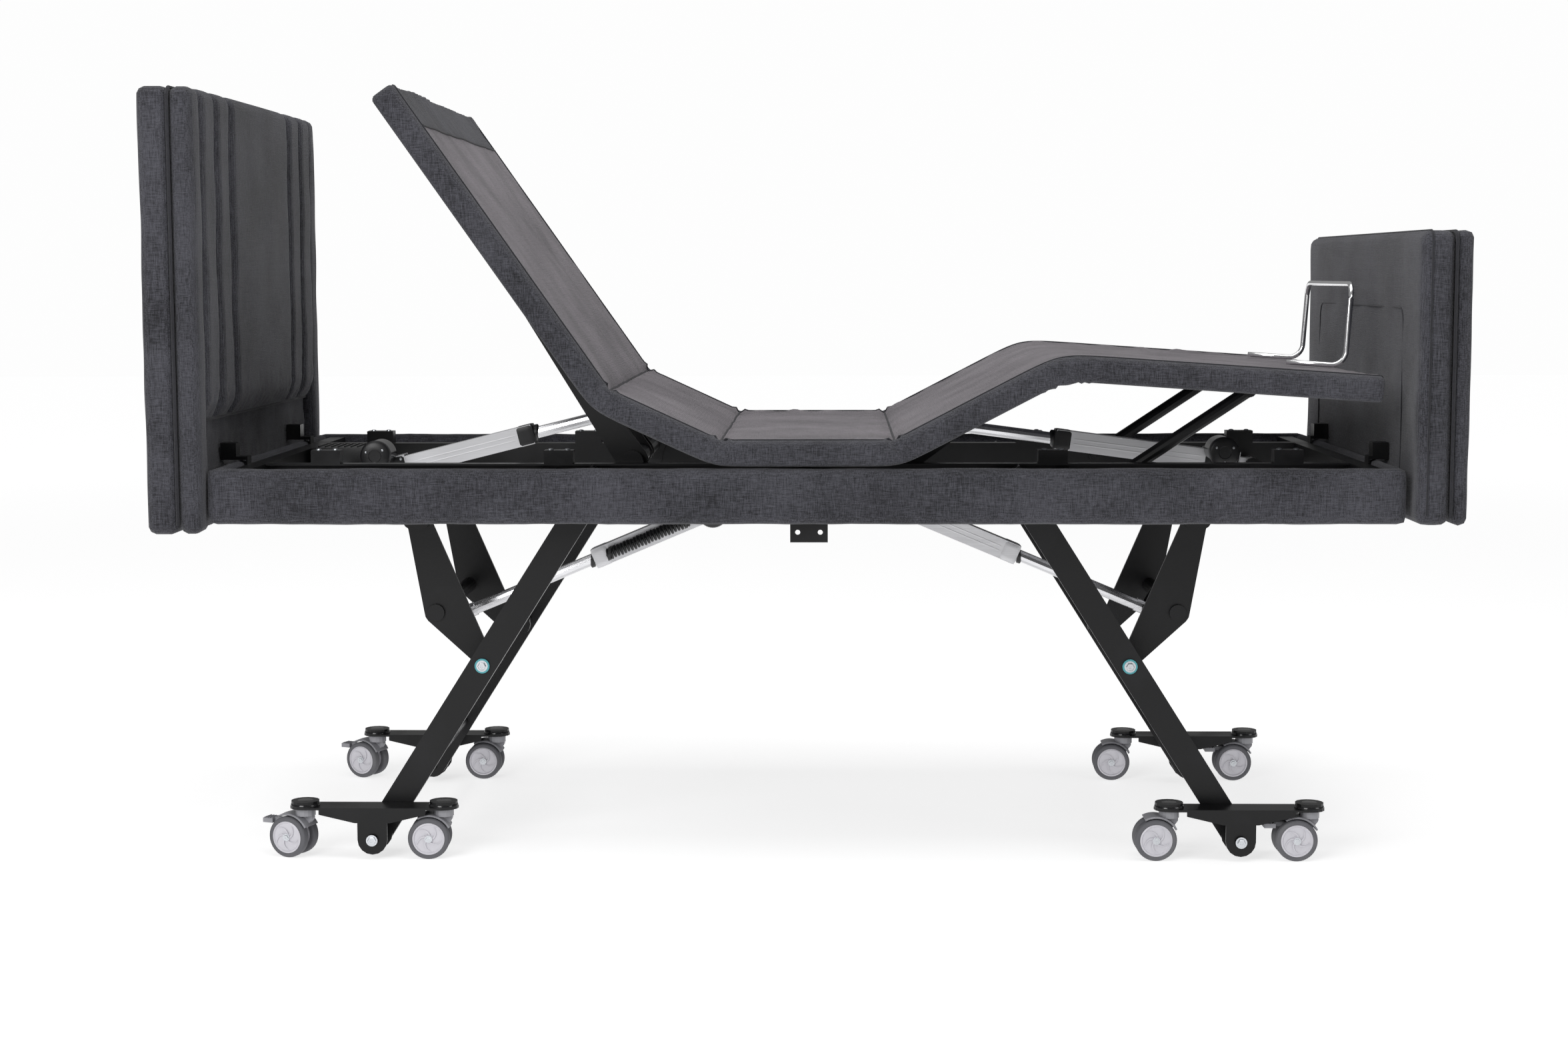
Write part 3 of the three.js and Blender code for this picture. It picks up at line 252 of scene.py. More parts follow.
black_steel = painted(
    "black_powder_coat", (0.0045, 0.0045, 0.005), (0.02, 0.02, 0.022), 0.5, 700, 0.34, 0.0002,
    Specular_IOR_Level=0.3)


def dress(material, *names):
    """Give CAD nodes their finish, and shade their round faces smooth."""
    for name in names:
        thing = frame["nodes"][name]
        thing.data.materials.clear()
        thing.data.materials.append(material)
        bpy.ops.object.select_all(action="DESELECT")
        thing.select_set(True)
        bpy.context.view_layer.objects.active = thing
        bpy.ops.object.shade_smooth_by_angle(angle=math.radians(32))


ENDS = ("head", "foot")
SIDES = ("right", "left")
CORNERS = [f"{end}_{side}" for end in ENDS for side in SIDES]

dress(black_steel, "chassis_frame", "back_lift_arm", "leg_lift_arm")
dress(black_steel, *(f"calf_strut_{side}" for side in SIDES))
dress(black_steel, *(f"{end}_link_frame" for end in ENDS))
dress(black_steel, *(f"{end}_leg_frame" for end in ENDS))
dress(black_steel, *(f"{corner}_bogie" for corner in CORNERS))

# ---------------------------------------------------------------- woven upholstery cloth
# A heavy plain weave of charcoal and blue-grey yarn covers the rails, the boards and the deck's
# sides; a lighter taupe one covers the lying surface. Slubs and mixed yarn make it look heathered.

weave_group, weave_in, weave_out = new_group(
    "woven cloth",
    {"Dark Yarn": (COLOR, (0.02, 0.02, 0.025, 1)), "Light Yarn": (COLOR, (0.06, 0.06, 0.07, 1)),
     "Yarns Per Metre": (FLOAT, 900.0), "Slub": (FLOAT, 0.5)},
    {"Colour": COLOR, "Height": FLOAT},
)
weave_place = add_node(weave_group, "ShaderNodeTexCoord")
weave_axes = add_node(weave_group, "ShaderNodeSeparateXYZ", {"Vector": weave_place.outputs["Object"]})
weave_waves = []
for axis in ("X", "Y", "Z"):
    turn = add_node(weave_group, "ShaderNodeMath", {
        0: weave_axes.outputs[axis], 1: weave_in.outputs["Yarns Per Metre"],
    }, operation="MULTIPLY")
    full = add_node(weave_group, "ShaderNodeMath", {0: turn.outputs[0], 1: math.pi}, operation="MULTIPLY")
    weave_waves.append(add_node(weave_group, "ShaderNodeMath", {0: full.outputs[0]}, operation="SINE"))
weave_cross = add_node(weave_group, "ShaderNodeMath", {
    0: weave_waves[0].outputs[0], 1: weave_waves[1].outputs[0],
}, operation="ADD")
weave_sum = add_node(weave_group, "ShaderNodeMath", {
    0: weave_cross.outputs[0], 1: weave_waves[2].outputs[0],
}, operation="ADD")
weave_threads = []
for stretch in ((0.09, 1.0, 1.0), (1.0, 1.0, 0.09)):
    laid = add_node(weave_group, "ShaderNodeMapping", {
        "Vector": weave_place.outputs["Object"], "Scale": stretch,
    })
    weave_threads.append(add_node(weave_group, "ShaderNodeTexNoise", {
        "Vector": laid.outputs["Vector"], "Scale": 700.0, "Detail": 3.0, "Roughness": 0.6,
    }))
weave_slubs, weave_heather = weave_threads
weave_cloud = add_node(weave_group, "ShaderNodeTexNoise", {
    "Vector": weave_place.outputs["Object"], "Scale": 7.0, "Detail": 3.0,
})
weave_mix = add_node(weave_group, "ShaderNodeMath", {
    0: weave_slubs.outputs["Fac"], 1: weave_heather.outputs["Fac"],
}, operation="ADD")
weave_mix = add_node(weave_group, "ShaderNodeMath", {
    0: weave_cloud.outputs["Fac"], 1: 0.6, 2: weave_mix.outputs[0],
}, operation="MULTIPLY_ADD")
weave_mask = add_node(weave_group, "ShaderNodeMapRange", {
    "Value": weave_mix.outputs[0], "From Min": 1.05, "From Max": 1.55,
})
weave_tint = add_node(weave_group, "ShaderNodeMixRGB", {
    "Fac": weave_mask.outputs["Result"],
    "Color1": weave_in.outputs["Dark Yarn"], "Color2": weave_in.outputs["Light Yarn"],
})
weave_lump = add_node(weave_group, "ShaderNodeMath", {
    0: weave_slubs.outputs["Fac"], 1: weave_in.outputs["Slub"],
}, operation="MULTIPLY")
weave_height = add_node(weave_group, "ShaderNodeMath", {
    0: weave_sum.outputs[0], 1: 0.25, 2: weave_lump.outputs[0],
}, operation="MULTIPLY_ADD")
weave_group.links.new(weave_tint.outputs[0], weave_out.inputs["Colour"])
weave_group.links.new(weave_height.outputs[0], weave_out.inputs["Height"])


def woven(name, dark, light, yarns, slub, bump):
    """A cloth material that places the woven cloth group, with a soft sheen."""
    material = new_material(name, 0.92, 0.0, Sheen_Weight=0.12, Sheen_Roughness=0.5)
    tree = material.node_tree
    shader = tree.nodes["Principled BSDF"]
    cloth = add_node(tree, "ShaderNodeGroup", node_tree=weave_group)
    cloth.inputs["Dark Yarn"].default_value = (*dark, 1)
    cloth.inputs["Light Yarn"].default_value = (*light, 1)
    cloth.inputs["Yarns Per Metre"].default_value = yarns
    cloth.inputs["Slub"].default_value = slub
    relief = add_node(tree, "ShaderNodeBump", {
        "Height": cloth.outputs["Height"], "Distance": bump, "Strength": 0.7,
    })
    tree.links.new(cloth.outputs["Colour"], shader.inputs["Base Color"])
    tree.links.new(relief.outputs["Normal"], shader.inputs["Normal"])
    return material


charcoal_cloth = woven("charcoal_cloth", (0.005, 0.005, 0.0075), (0.062, 0.062, 0.075), 700, 0.9, 0.0009)
taupe_cloth = woven("taupe_cloth", (0.052, 0.046, 0.053), (0.210, 0.192, 0.208), 800, 0.7, 0.0007)
seam_cloth = woven("seam_piping", (0.006, 0.006, 0.008), (0.02, 0.02, 0.026), 1500, 0.5, 0.0003)

# ---------------------------------------------------------------- side and end rails
# Four boards wrapped in thin foam and charcoal cloth hang round the chassis. The cloth is pulled
# round the long edges, eases in soft waves between its staples, and is folded at the corners.

RAIL_EDGE = 0.011
RAIL_CELL = 0.016
RAIL_CROWN = 0.0012


def rounded_block(low, high, edge, cell, shape=None):
    """Vertices and faces of a closed block with round edges, meshed in cells.

    shape(point, normal), where given, moves each point.
    """
    low, high = Vector(low), Vector(high)
    size = high - low
    counts = [max(2, round(side / cell)) for side in size]
    index, verts, faces = {}, [], []

    def corner(key):
        if key in index:
            return index[key]
        flat = Vector(low[i] + size[i] * key[i] / counts[i] for i in range(3))
        core = Vector(min(max(flat[i], low[i] + edge), high[i] - edge) for i in range(3))
        out = flat - core
        if out.length > 1e-9:
            flat = core + out.normalized() * min(edge, max(abs(v) for v in out))
        normal = out.normalized() if out.length > 1e-9 else Vector((0, 0, 1))
        index[key] = len(verts)
        verts.append(shape(flat, normal) if shape else flat)
        return index[key]

    for axis in range(3):
        u, v = (axis + 1) % 3, (axis + 2) % 3
        for end in (0, counts[axis]):
            for i in range(counts[u]):
                for j in range(counts[v]):
                    ring = []
                    for du, dv in ((0, 0), (1, 0), (1, 1), (0, 1)):
                        key = [0, 0, 0]
                        key[axis], key[u], key[v] = end, i + du, j + dv
                        ring.append(corner(tuple(key)))
                    faces.append(ring if end else ring[::-1])
    return verts, faces


def mesh_piece(name, verts, faces, *materials):
    """A new smooth-shaded object with these vertices, faces and materials."""
    mesh = bpy.data.meshes.new(name)
    mesh.from_pydata([tuple(v) for v in verts], [], faces)
    for material in materials:
        mesh.materials.append(material)
    for polygon in mesh.polygons:
        polygon.use_smooth = True
    mesh.update()
    thing = bpy.data.objects.new(name, mesh)
    bpy.context.scene.collection.objects.link(thing)
    return thing


def ripple(point, scale, depth, seed=0.0):
    """A soft random height at a point, the same on every run."""
    return depth * noise.noise(Vector((point.x * scale + seed, point.y * scale, point.z * scale)))


def rail_shape(out_axis):
    """A shape that crowns a rail's faces across out_axis and waves its cloth."""
    def shape(point, normal):
        wave = ripple(point, 14, 0.0012) + ripple(point, 45, 0.0006, 7)
        moved = point.copy()
        moved[out_axis] += normal[out_axis] * (1 - abs(normal.z)) * (RAIL_CROWN + wave)
        moved.z += normal.z * wave
        return moved
    return shape


for name, out_axis in (("right", 1), ("left", 1), ("head", 0), ("foot", 0)):
    low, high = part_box(f"surround_{name}")
    rail = mesh_piece(f"rail_cover_{name}", *rounded_block(
        low, high, RAIL_EDGE, RAIL_CELL, rail_shape(out_axis)), charcoal_cloth)
    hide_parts(f"surround_{name}")
    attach(rail, "chassis")


def stitched_line(name, points, radius, material, body):
    """A thin cord of thread or piping laid along points, as a mesh tube."""
    curve = bpy.data.curves.new(name, "CURVE")
    curve.dimensions = "3D"
    curve.bevel_depth = radius
    curve.bevel_resolution = 2
    curve.use_fill_caps = True
    spline = curve.splines.new("POLY")
    spline.points.add(len(points) - 1)
    for place, point in zip(spline.points, points):
        place.co = (*point, 1)
    line = bpy.data.objects.new(name, curve)
    bpy.context.scene.collection.objects.link(line)
    bpy.ops.object.select_all(action="DESELECT")
    line.select_set(True)
    bpy.context.view_layer.objects.active = line
    bpy.ops.object.convert(target="MESH")
    line = bpy.context.object
    line.data.materials.clear()
    line.data.materials.append(material)
    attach(line, body)
    return line


# ---------------------------------------------------------------- headboard and footboard
# Plywood boards wrapped in foam and cloth. The headboard's front is quilted in upright channels that
# are gathered into a cross seam above a plain apron, between two side rolls of the full height.

CHANNEL_SEAMS = (0.230, 0.335)
CHANNEL_HALF_WIDTH = 0.430
CHANNEL_DEPTH = 0.021
CHANNEL_WIDTH = 0.011
CHANNEL_TOP_DIP = 0.010
MIDDLE_PUFF = 0.004
GATHER_HEIGHT, GATHER_DEPTH = 0.05, 0.005
SEAM_HEIGHT, SEAM_DEPTH = 0.022, 0.012
HEAD_SEAM_Z = 0.785
APRON_THICKNESS = 0.020
BOARD_CELL = 0.012
QUILT_CELL = 0.008
ROLL_FRONT = -1.0265
PANEL_MARGIN = 0.13


def headboard_shape(point, normal):
    """Sink the channels' seams, puff the middle up and gather the foot of the quilting."""
    moved = point.copy()
    front = max(0, normal.x)
    seam_gap = min(abs(abs(point.y) - seam) for seam in CHANNEL_SEAMS)
    channel = math.exp(-(seam_gap / CHANNEL_WIDTH) ** 2)
    over_foot = point.z - HEAD_SEAM_Z
    gather = ripple(point, 60, GATHER_DEPTH) * math.exp(-(over_foot / GATHER_HEIGHT) ** 2)
    tuck = SEAM_DEPTH * math.exp(-(over_foot / SEAM_HEIGHT) ** 2)
    puff = math.cos(min(1, abs(point.y) / CHANNEL_SEAMS[0]) * math.pi / 2)
    moved.x += front * (MIDDLE_PUFF * puff - CHANNEL_DEPTH * channel)
    moved.x += front * (gather - tuck + ripple(point, 9, 0.003))
    moved.z -= max(0, normal.z) * CHANNEL_TOP_DIP * channel
    return moved


def waved(direction, scale, depth):
    """A shape that eases a board's face in and out along X, on the side of direction."""
    def shape(point, normal):
        facing = direction * max(0, direction * normal.x)
        return point + Vector((facing * ripple(point, scale, depth), 0, 0))
    return shape


head_low, head_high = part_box("headboard_pad")
pad = mesh_piece("headboard_channels", *rounded_block(
    (head_low.x, -CHANNEL_HALF_WIDTH, HEAD_SEAM_Z), (head_high.x, CHANNEL_HALF_WIDTH, head_high.z),
    0.020, QUILT_CELL, headboard_shape), charcoal_cloth)
apron_front = head_low.x + APRON_THICKNESS
apron = mesh_piece("headboard_apron", *rounded_block(
    (head_low.x, -CHANNEL_HALF_WIDTH, head_low.z), (apron_front, CHANNEL_HALF_WIDTH, HEAD_SEAM_Z + 0.01),
    0.009, BOARD_CELL, waved(1, 30, 0.003)), charcoal_cloth)
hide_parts("headboard_pad")
roll_spans = {
    "right": (head_low.y, -CHANNEL_HALF_WIDTH),
    "left": (CHANNEL_HALF_WIDTH, head_high.y),
}
rolls = []
for side, (near, far) in roll_spans.items():
    rolls.append(mesh_piece(f"headboard_roll_{side}", *rounded_block(
        (head_low.x, near, head_low.z), (ROLL_FRONT, far, head_high.z),
        0.017, BOARD_CELL, waved(1, 11, 0.003)), charcoal_cloth))
back_low, back_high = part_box("headboard_panel")
panel = mesh_piece("headboard_rear", *rounded_block(
    back_low, back_high, 0.014, BOARD_CELL, waved(-1, 12, 0.002)), charcoal_cloth)
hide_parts("headboard_panel")
foot_low, foot_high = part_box("footboard_pad")
inner = mesh_piece("footboard_inner", *rounded_block(
    foot_low, foot_high, 0.018, BOARD_CELL, waved(-1, 10, 0.003)), charcoal_cloth)
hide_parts("footboard_pad")
out_low, out_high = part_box("footboard_panel")
outer = mesh_piece("footboard_outer", *rounded_block(
    out_low, out_high, 0.013, BOARD_CELL, waved(1, 12, 0.002)), charcoal_cloth)
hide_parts("footboard_panel")
for piece in (pad, apron, *rolls, panel, inner, outer):
    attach(piece, "chassis")


def board_ring(x, low, high, inset, corner):
    """Points up one side of a board, over its top and down the other side, with round corners."""
    y, z = high.y - inset, high.z - inset
    ring = [(x, -y, low.z + corner), (x, -y, z - corner)]
    for turn_y, start in ((-y + corner, 180), (y - corner, 90)):
        for i in range(1, 8):
            a = math.radians(start - 90 * i / 8)
            ring.append((x, turn_y + corner * math.cos(a), z - corner + corner * math.sin(a)))
    ring += [(x, y, z - corner), (x, y, low.z + corner)]
    return ring


# Piping lies in the boards' seams, and a row of stitches runs round the footboard's inner panel.
# Each ring has its place along the bed, its board, its inset, its corner's radius and its thickness.
board_rings = {
    "headboard_rear_seam": (head_low.x - 0.0005, head_low, head_high, 0.0015, 0.016, 0.0030),
    "footboard_rear_seam": (foot_high.x + 0.0005, foot_low, foot_high, 0.0015, 0.016, 0.0030),
    "footboard_piping": (foot_low.x + 0.017, foot_low, foot_high, -0.0004, 0.018, 0.0018),
    "footboard_stitching": (foot_low.x + 0.0002, foot_low, foot_high, PANEL_MARGIN, 0.030, 0.0014),
}
seam_y = CHANNEL_HALF_WIDTH - 0.01
seam_steps = 60
apron_seam = [
    (apron_front + 0.002, seam_y * (2 * i / seam_steps - 1), HEAD_SEAM_Z - 0.001)
    for i in range(seam_steps + 1)
]
seam_lines = {"headboard_piping": (apron_seam, 0.0035)}
for name, (*ring, radius) in board_rings.items():
    seam_lines[name] = (board_ring(*ring), radius)
for name, (points, radius) in seam_lines.items():
    line = stitched_line(name, points, radius, seam_cloth, "chassis")

# ---------------------------------------------------------------- deck cover
# One padded cloth cover runs over all five boards: taupe on the lying surface, charcoal on the sides
# and under the boards. It is sewn down at each fold, so it puckers there, and is round at the knee.

JOINTS = {joint["name"]: joint for joint in frame["joints"]}
DECK_THICKNESS = 0.049
BACK_ANGLE, LUMBAR_ANGLE, THIGH_ANGLE, CALF_ANGLE = -55, -24.7, 27.5, -4
BACK_LENGTH, THIGH_LENGTH, CALF_LENGTH = 0.632, 0.303, 0.538
COVER_HALF_WIDTH = 0.4622
COVER_TOP, COVER_BOTTOM, BOARD_UNDERSIDE = -0.0024, -0.0470, -0.0200
COVER_EDGE = 0.014
LOWER_EDGE = 0.010
SKIRT_WIDTH = 0.026
SEAM_INSET = 0.0165
BORDER, HOLLOW = 38, 49
HEM_FROM = 0.4
ROW_STEP = 0.0085
FAN_STEP = 0.0012
END_STEPS = (0.0006, 0.0025, 0.0055, 0.0100)
FAN_STEPS = 7
CREASE_DEPTH, CREASE_WIDTH = 0.005, 0.010
SWELL_PRESSURE = 4.0
SWELL_LIMIT = 0.0032
SWELL_FRAMES = 20
PLEAT_BAND = 0.085
EASE_REACH = 0.075
EASE_ROUNDS = 56


def joint_place(name):
    """Where a joint's pivot is, in metres."""
    return Vector(JOINTS[name]["pos_m"])


def slope(angle):
    """The direction along a section tilted by angle, and its upward normal."""
    a = math.radians(angle)
    return Vector((math.cos(a), 0, math.sin(a))), Vector((-math.sin(a), 0, math.cos(a)))


def section_profile():
    """Half the cover's section, from the middle of the top round to the middle of the underside.

    Station BORDER is the seam of the border, and the hollow under the board begins at HOLLOW.
    """
    flat = COVER_HALF_WIDTH - COVER_EDGE
    border = COVER_HALF_WIDTH - SEAM_INSET
    half = [(border * i / BORDER, COVER_TOP) for i in range(BORDER)]
    half += [(border, COVER_TOP), ((border + flat) / 2 + 0.0005, COVER_TOP)]
    for i in range(5):
        a = math.radians(22.5 * i)
        half.append((flat + COVER_EDGE * math.sin(a), COVER_TOP - COVER_EDGE * (1 - math.cos(a))))
    half += [(COVER_HALF_WIDTH, COVER_TOP - COVER_EDGE - 0.0058 * i) for i in range(1, 4)]
    for i in range(1, 4):
        a = math.radians(30 * i)
        side = COVER_HALF_WIDTH - LOWER_EDGE * (1 - math.cos(a))
        half.append((side, COVER_BOTTOM + LOWER_EDGE * (1 - math.sin(a))))
    inner = COVER_HALF_WIDTH - SKIRT_WIDTH
    half += [(inner + 0.007, COVER_BOTTOM), (inner, COVER_BOTTOM + 0.004)]
    half += [(inner, -0.034), (inner, BOARD_UNDERSIDE - 0.003)]
    half += [(inner * (8 - i) / 8, BOARD_UNDERSIDE) for i in range(9)]
    return half


half_profile = section_profile()
PROFILE = half_profile + [(-y, w) for y, w in reversed(half_profile[1:-1])]
COUNT = len(PROFILE)
SIDE_OF = [*range(len(half_profile)), *range(len(half_profile) - 2, 0, -1)]

rows, folds = [], {}


def add_stretch(origin, angle, length, section):
    """Rows along one section, with extra ones near the deck's two ends, where the cover rounds off."""
    along, _ = slope(angle)
    steps = max(2, round(length / ROW_STEP))
    first = rows[-1]["path"] if rows else 0.0
    stations = [length * i / steps for i in range(1 if rows else 0, steps + 1)]
    if section == "back":
        stations = [0, *END_STEPS, *stations[2:]]
    if section == "calf":
        stations = [*stations[:-2], *(length - step for step in reversed(END_STEPS)), length]
    for station in stations:
        rows.append({"place": origin + along * station, "angle": angle, "path": first + station})


def add_fan(pivot, start, stop, below, name):
    """Rows that turn about a fold's pivot, which lies on the top of the deck or below it."""
    folds[name] = {"path": rows[-1]["path"], "first": len(rows)}
    for i in range(1, FAN_STEPS + 1):
        angle = start + (stop - start) * i / FAN_STEPS
        rows.append({"place": pivot + slope(angle)[1] * below, "angle": angle,
                     "path": rows[-1]["path"] + FAN_STEP})
    folds[name]["last"] = len(rows) - 1
    folds[name]["path"] = (folds[name]["path"] + rows[-1]["path"]) / 2


FOLD_NAMES = ("back_fold", "back_raise", "leg_raise", "calf_fold")
neck, waist, hip, knee = (joint_place(name) for name in FOLD_NAMES)
add_stretch(neck - slope(BACK_ANGLE)[0] * BACK_LENGTH, BACK_ANGLE, BACK_LENGTH, "back")
add_fan(neck, BACK_ANGLE, LUMBAR_ANGLE, 0, "back_fold")
add_stretch(neck, LUMBAR_ANGLE, (waist - neck).length, "lumbar")
add_fan(waist, LUMBAR_ANGLE, 0, 0, "back_raise")
add_stretch(waist, 0, (hip - waist).length, "seat")
add_fan(hip, 0, THIGH_ANGLE, 0, "leg_raise")
add_stretch(hip, THIGH_ANGLE, THIGH_LENGTH, "thigh")
add_fan(knee, THIGH_ANGLE, CALF_ANGLE, DECK_THICKNESS, "calf_fold")
add_stretch(knee + slope(CALF_ANGLE)[1] * DECK_THICKNESS, CALF_ANGLE, CALF_LENGTH, "calf")
PATH_LENGTH = rows[-1]["path"]
VALLEYS = [folds[name]["path"] for name in FOLD_NAMES[:-1]]
KNEE = folds["calf_fold"]["path"]


def end_inset(path):
    """How far the cover draws in near its two ends, and whether the row lies in an end skirt."""
    away = min(path, PATH_LENGTH - path) + 0.001
    short = max(0, COVER_EDGE - away)
    return COVER_EDGE - math.sqrt(max(0, COVER_EDGE ** 2 - short ** 2)), away < SKIRT_WIDTH


def to_nearest_valley(path):
    """How far along the cover the nearest sewn-down fold is."""
    return min(abs(path - fold) for fold in VALLEYS)


deck_points = []
for row in rows:
    inset, closed = end_inset(row["path"])
    normal = slope(row["angle"])[1]
    crease = sum(CREASE_DEPTH * math.exp(-((row["path"] - fold) / CREASE_WIDTH) ** 2)
                 for fold in VALLEYS)
    for k, (y, w) in enumerate(PROFILE):
        station = SIDE_OF[k]
        if station > HOLLOW and closed:
            w = COVER_BOTTOM
        if station <= BORDER:
            w -= crease
        y = math.copysign(max(0, abs(y) - inset * (abs(y) > HEM_FROM)), y)
        w = max(min(w, -inset), -DECK_THICKNESS + inset)
        deck_points.append(row["place"] + normal * w + Vector((0, y, 0)))


def strip_faces(first, last, count):
    """The quads between two rows of a swept section, and a face on each end."""
    faces = []
    for r in range(last - first):
        for k in range(count):
            m = (k + 1) % count
            faces.append((r * count + k, r * count + m, (r + 1) * count + m, (r + 1) * count + k))
    faces.append(tuple(range(count))[::-1])
    faces.append(tuple((last - first) * count + k for k in range(count)))
    return faces


def swell(thing, pressure, limit):
    """Blow a cover up with a cloth simulation, and return its points, moved by limit at most."""
    start = [vertex.co.copy() for vertex in thing.data.vertices]
    cloth = thing.modifiers.new("swell", "CLOTH")
    cloth.settings.use_pressure = True
    cloth.settings.uniform_pressure_force = pressure
    cloth.settings.quality = 4
    cloth.settings.effector_weights.gravity = 0
    cloth.collision_settings.use_collision = False
    cloth.point_cache.frame_start = 1
    cloth.point_cache.frame_end = SWELL_FRAMES
    for number in range(1, SWELL_FRAMES + 1):
        bpy.context.scene.frame_set(number)
    swollen = thing.evaluated_get(bpy.context.evaluated_depsgraph_get()).to_mesh()
    ends = [vertex.co.copy() for vertex in swollen.vertices]
    thing.modifiers.remove(cloth)
    bpy.context.scene.frame_set(1)
    return [a + (b - a) * min(1, limit / max((b - a).length, 1e-9)) for a, b in zip(start, ends)]


whole = mesh_piece("deck_whole", deck_points, strip_faces(0, len(rows) - 1, COUNT))
deck_points = swell(whole, SWELL_PRESSURE, SWELL_LIMIT)
bpy.data.objects.remove(whole)


def ease(station, to_valley, to_knee):
    """How much the stuffing rounds the cover off along the path: least on the sewn-down folds."""
    deep = min(1, max(0, station - BORDER) / (HOLLOW - BORDER) + 0.25)
    valley = (0.06 if station <= BORDER else 0.7 * deep) * (to_valley < EASE_REACH)
    round_knee = (to_knee < 2 * EASE_REACH) * (1 if station <= BORDER else 0.9)
    return 0.5 * max(valley, round_knee)


eases = [[ease(SIDE_OF[k], to_nearest_valley(row["path"]), abs(row["path"] - KNEE)) for k in range(COUNT)]
         for row in rows]
for _ in range(EASE_ROUNDS):
    eased = {}
    for r in range(1, len(rows) - 1):
        for k in range(COUNT):
            if eases[r][k]:
                here = deck_points[r * COUNT + k]
                middle = (deck_points[(r - 1) * COUNT + k] + deck_points[(r + 1) * COUNT + k]) / 2
                eased[r * COUNT + k] = here.lerp(middle, eases[r][k])
    for k, point in eased.items():
        deck_points[k] = point

QUILT_WAVE, QUILT_LUMP = 0.0034, 0.0014
QUILT_HEIGHT = 0.7
PUCKER_DEPTH, PUCKER_REACH, PUCKERS_PER_METRE = 0.0024, 0.016, 250
BORDER_WAVE, BORDER_WAVES_PER_METRE = 0.0034, 85
EAR_HEIGHT, EAR_PLACE, EAR_LENGTH = 0.0045, 0.012, 0.007
EAR_Y, EAR_WIDTH = 0.438, 0.016
PLEAT_DEPTH, PLEATS_PER_METRE = 0.0032, 170
SIDE_GATHER, GATHER_REACH, GATHERS_PER_METRE = 0.0050, 0.028, 330
KNEE_RUMPLE, RUMPLE_REACH, RUMPLES_PER_METRE = 0.0050, 0.045, 250
KNEE_HANG, HANG_REACH = 0.0050, 0.040


def ear_length(to_valley):
    """The rise of the cloth that a fold pushes up beside itself, from 0 to 1."""
    return math.exp(-((to_valley - EAR_PLACE) / EAR_LENGTH) ** 2)


def wrinkle_top(point, normal, path, edge):
    """Lift and sink a point of the lying surface; edge runs from 0 in the middle to 1 at the border."""
    to_valley = to_nearest_valley(path)
    quilt = ripple(point, 9, QUILT_WAVE) + ripple(point, 31, QUILT_LUMP, 3)
    pucker = math.sin(point.y * PUCKERS_PER_METRE + 6 * ripple(point, 8, 1.0))
    pucker *= PUCKER_DEPTH * math.exp(-to_valley / PUCKER_REACH)
    slack = max(0.2, 1.6 * noise.noise(Vector((path * 7, point.y * 3, 2))) + 0.5)
    wave = BORDER_WAVE * slack * edge ** 9 * math.sin(path * BORDER_WAVES_PER_METRE + 60 * point.y)
    ear = EAR_HEIGHT * ear_length(to_valley) * math.exp(-((abs(point.y) - EAR_Y) / EAR_WIDTH) ** 2)
    point += normal * (quilt * QUILT_HEIGHT + pucker + wave + ear)
    if path < PLEAT_BAND:
        pleat = math.sin(point.y * PLEATS_PER_METRE + 4 * ripple(point, 9, 1.0))
        point += normal * PLEAT_DEPTH * slack * pleat


def wrinkle_side(point, normal, path, drop):
    """Gather a point of the border at the folds; drop runs from 0 at its seam to 1 at its foot."""
    out = Vector((0, 1 if point.y > 0 else -1, 0))
    to_valley, to_knee = to_nearest_valley(path), abs(path - KNEE)
    gather = math.sin(path * GATHERS_PER_METRE + 4 * ripple(point, 25, 1.0))
    gather *= math.exp(-to_valley / GATHER_REACH)
    rumple = math.sin(path * RUMPLES_PER_METRE + 5 * ripple(point, 18, 1.0))
    rumple *= math.exp(-to_knee / RUMPLE_REACH)
    hang = math.exp(-(to_knee / HANG_REACH) ** 2) * (0.5 + 0.5 * math.sin(path * GATHERS_PER_METRE))
    point += out * (SIDE_GATHER * gather * (1 - 0.5 * drop) + KNEE_RUMPLE * rumple * drop ** 2)
    point += normal * (EAR_HEIGHT * ear_length(to_valley) * (1 - drop) ** 4 - KNEE_HANG * hang * drop ** 2)
    point += out * (ripple(point, 16, 0.0016) + ripple(point, 50, 0.0006, 5))
    point += normal * (0.0022 * rumple + 0.0016 * gather) * drop


for r, row in enumerate(rows):
    normal = slope(row["angle"])[1]
    for k, station in enumerate(SIDE_OF):
        point = deck_points[r * COUNT + k]
        if station < BORDER:
            wrinkle_top(point, normal, row["path"], station / BORDER)
        elif station <= HOLLOW:
            wrinkle_side(point, normal, row["path"], (station - BORDER) / (HOLLOW - BORDER))

# The cover is cut midway between the folds, so that each length holds one of them. Each has the
# bodies on its two sides, its fold and the boards that it covers.
COVERS = {
    "back_cover": ("back", "lumbar", "back_fold", ["back_section"]),
    "waist_cover": ("lumbar", "chassis", "back_raise", ["lumbar_section"]),
    "hip_cover": ("chassis", "thigh", "leg_raise", ["seat_section"]),
    "knee_cover": ("thigh", "calf", "calf_fold", ["thigh_section", "calf_section"]),
}
BLEND_REACH = 0.95 * DECK_THICKNESS
PIPING_RADIUS, FOLD_SEAM_RADIUS, CROSS_SEAM_RADIUS = 0.0021, 0.0022, 0.0024
cuts = [0]
for before, after in zip(FOLD_NAMES, FOLD_NAMES[1:]):
    cuts.append((folds[before]["last"] + folds[after]["first"]) // 2)
cuts.append(len(rows) - 1)


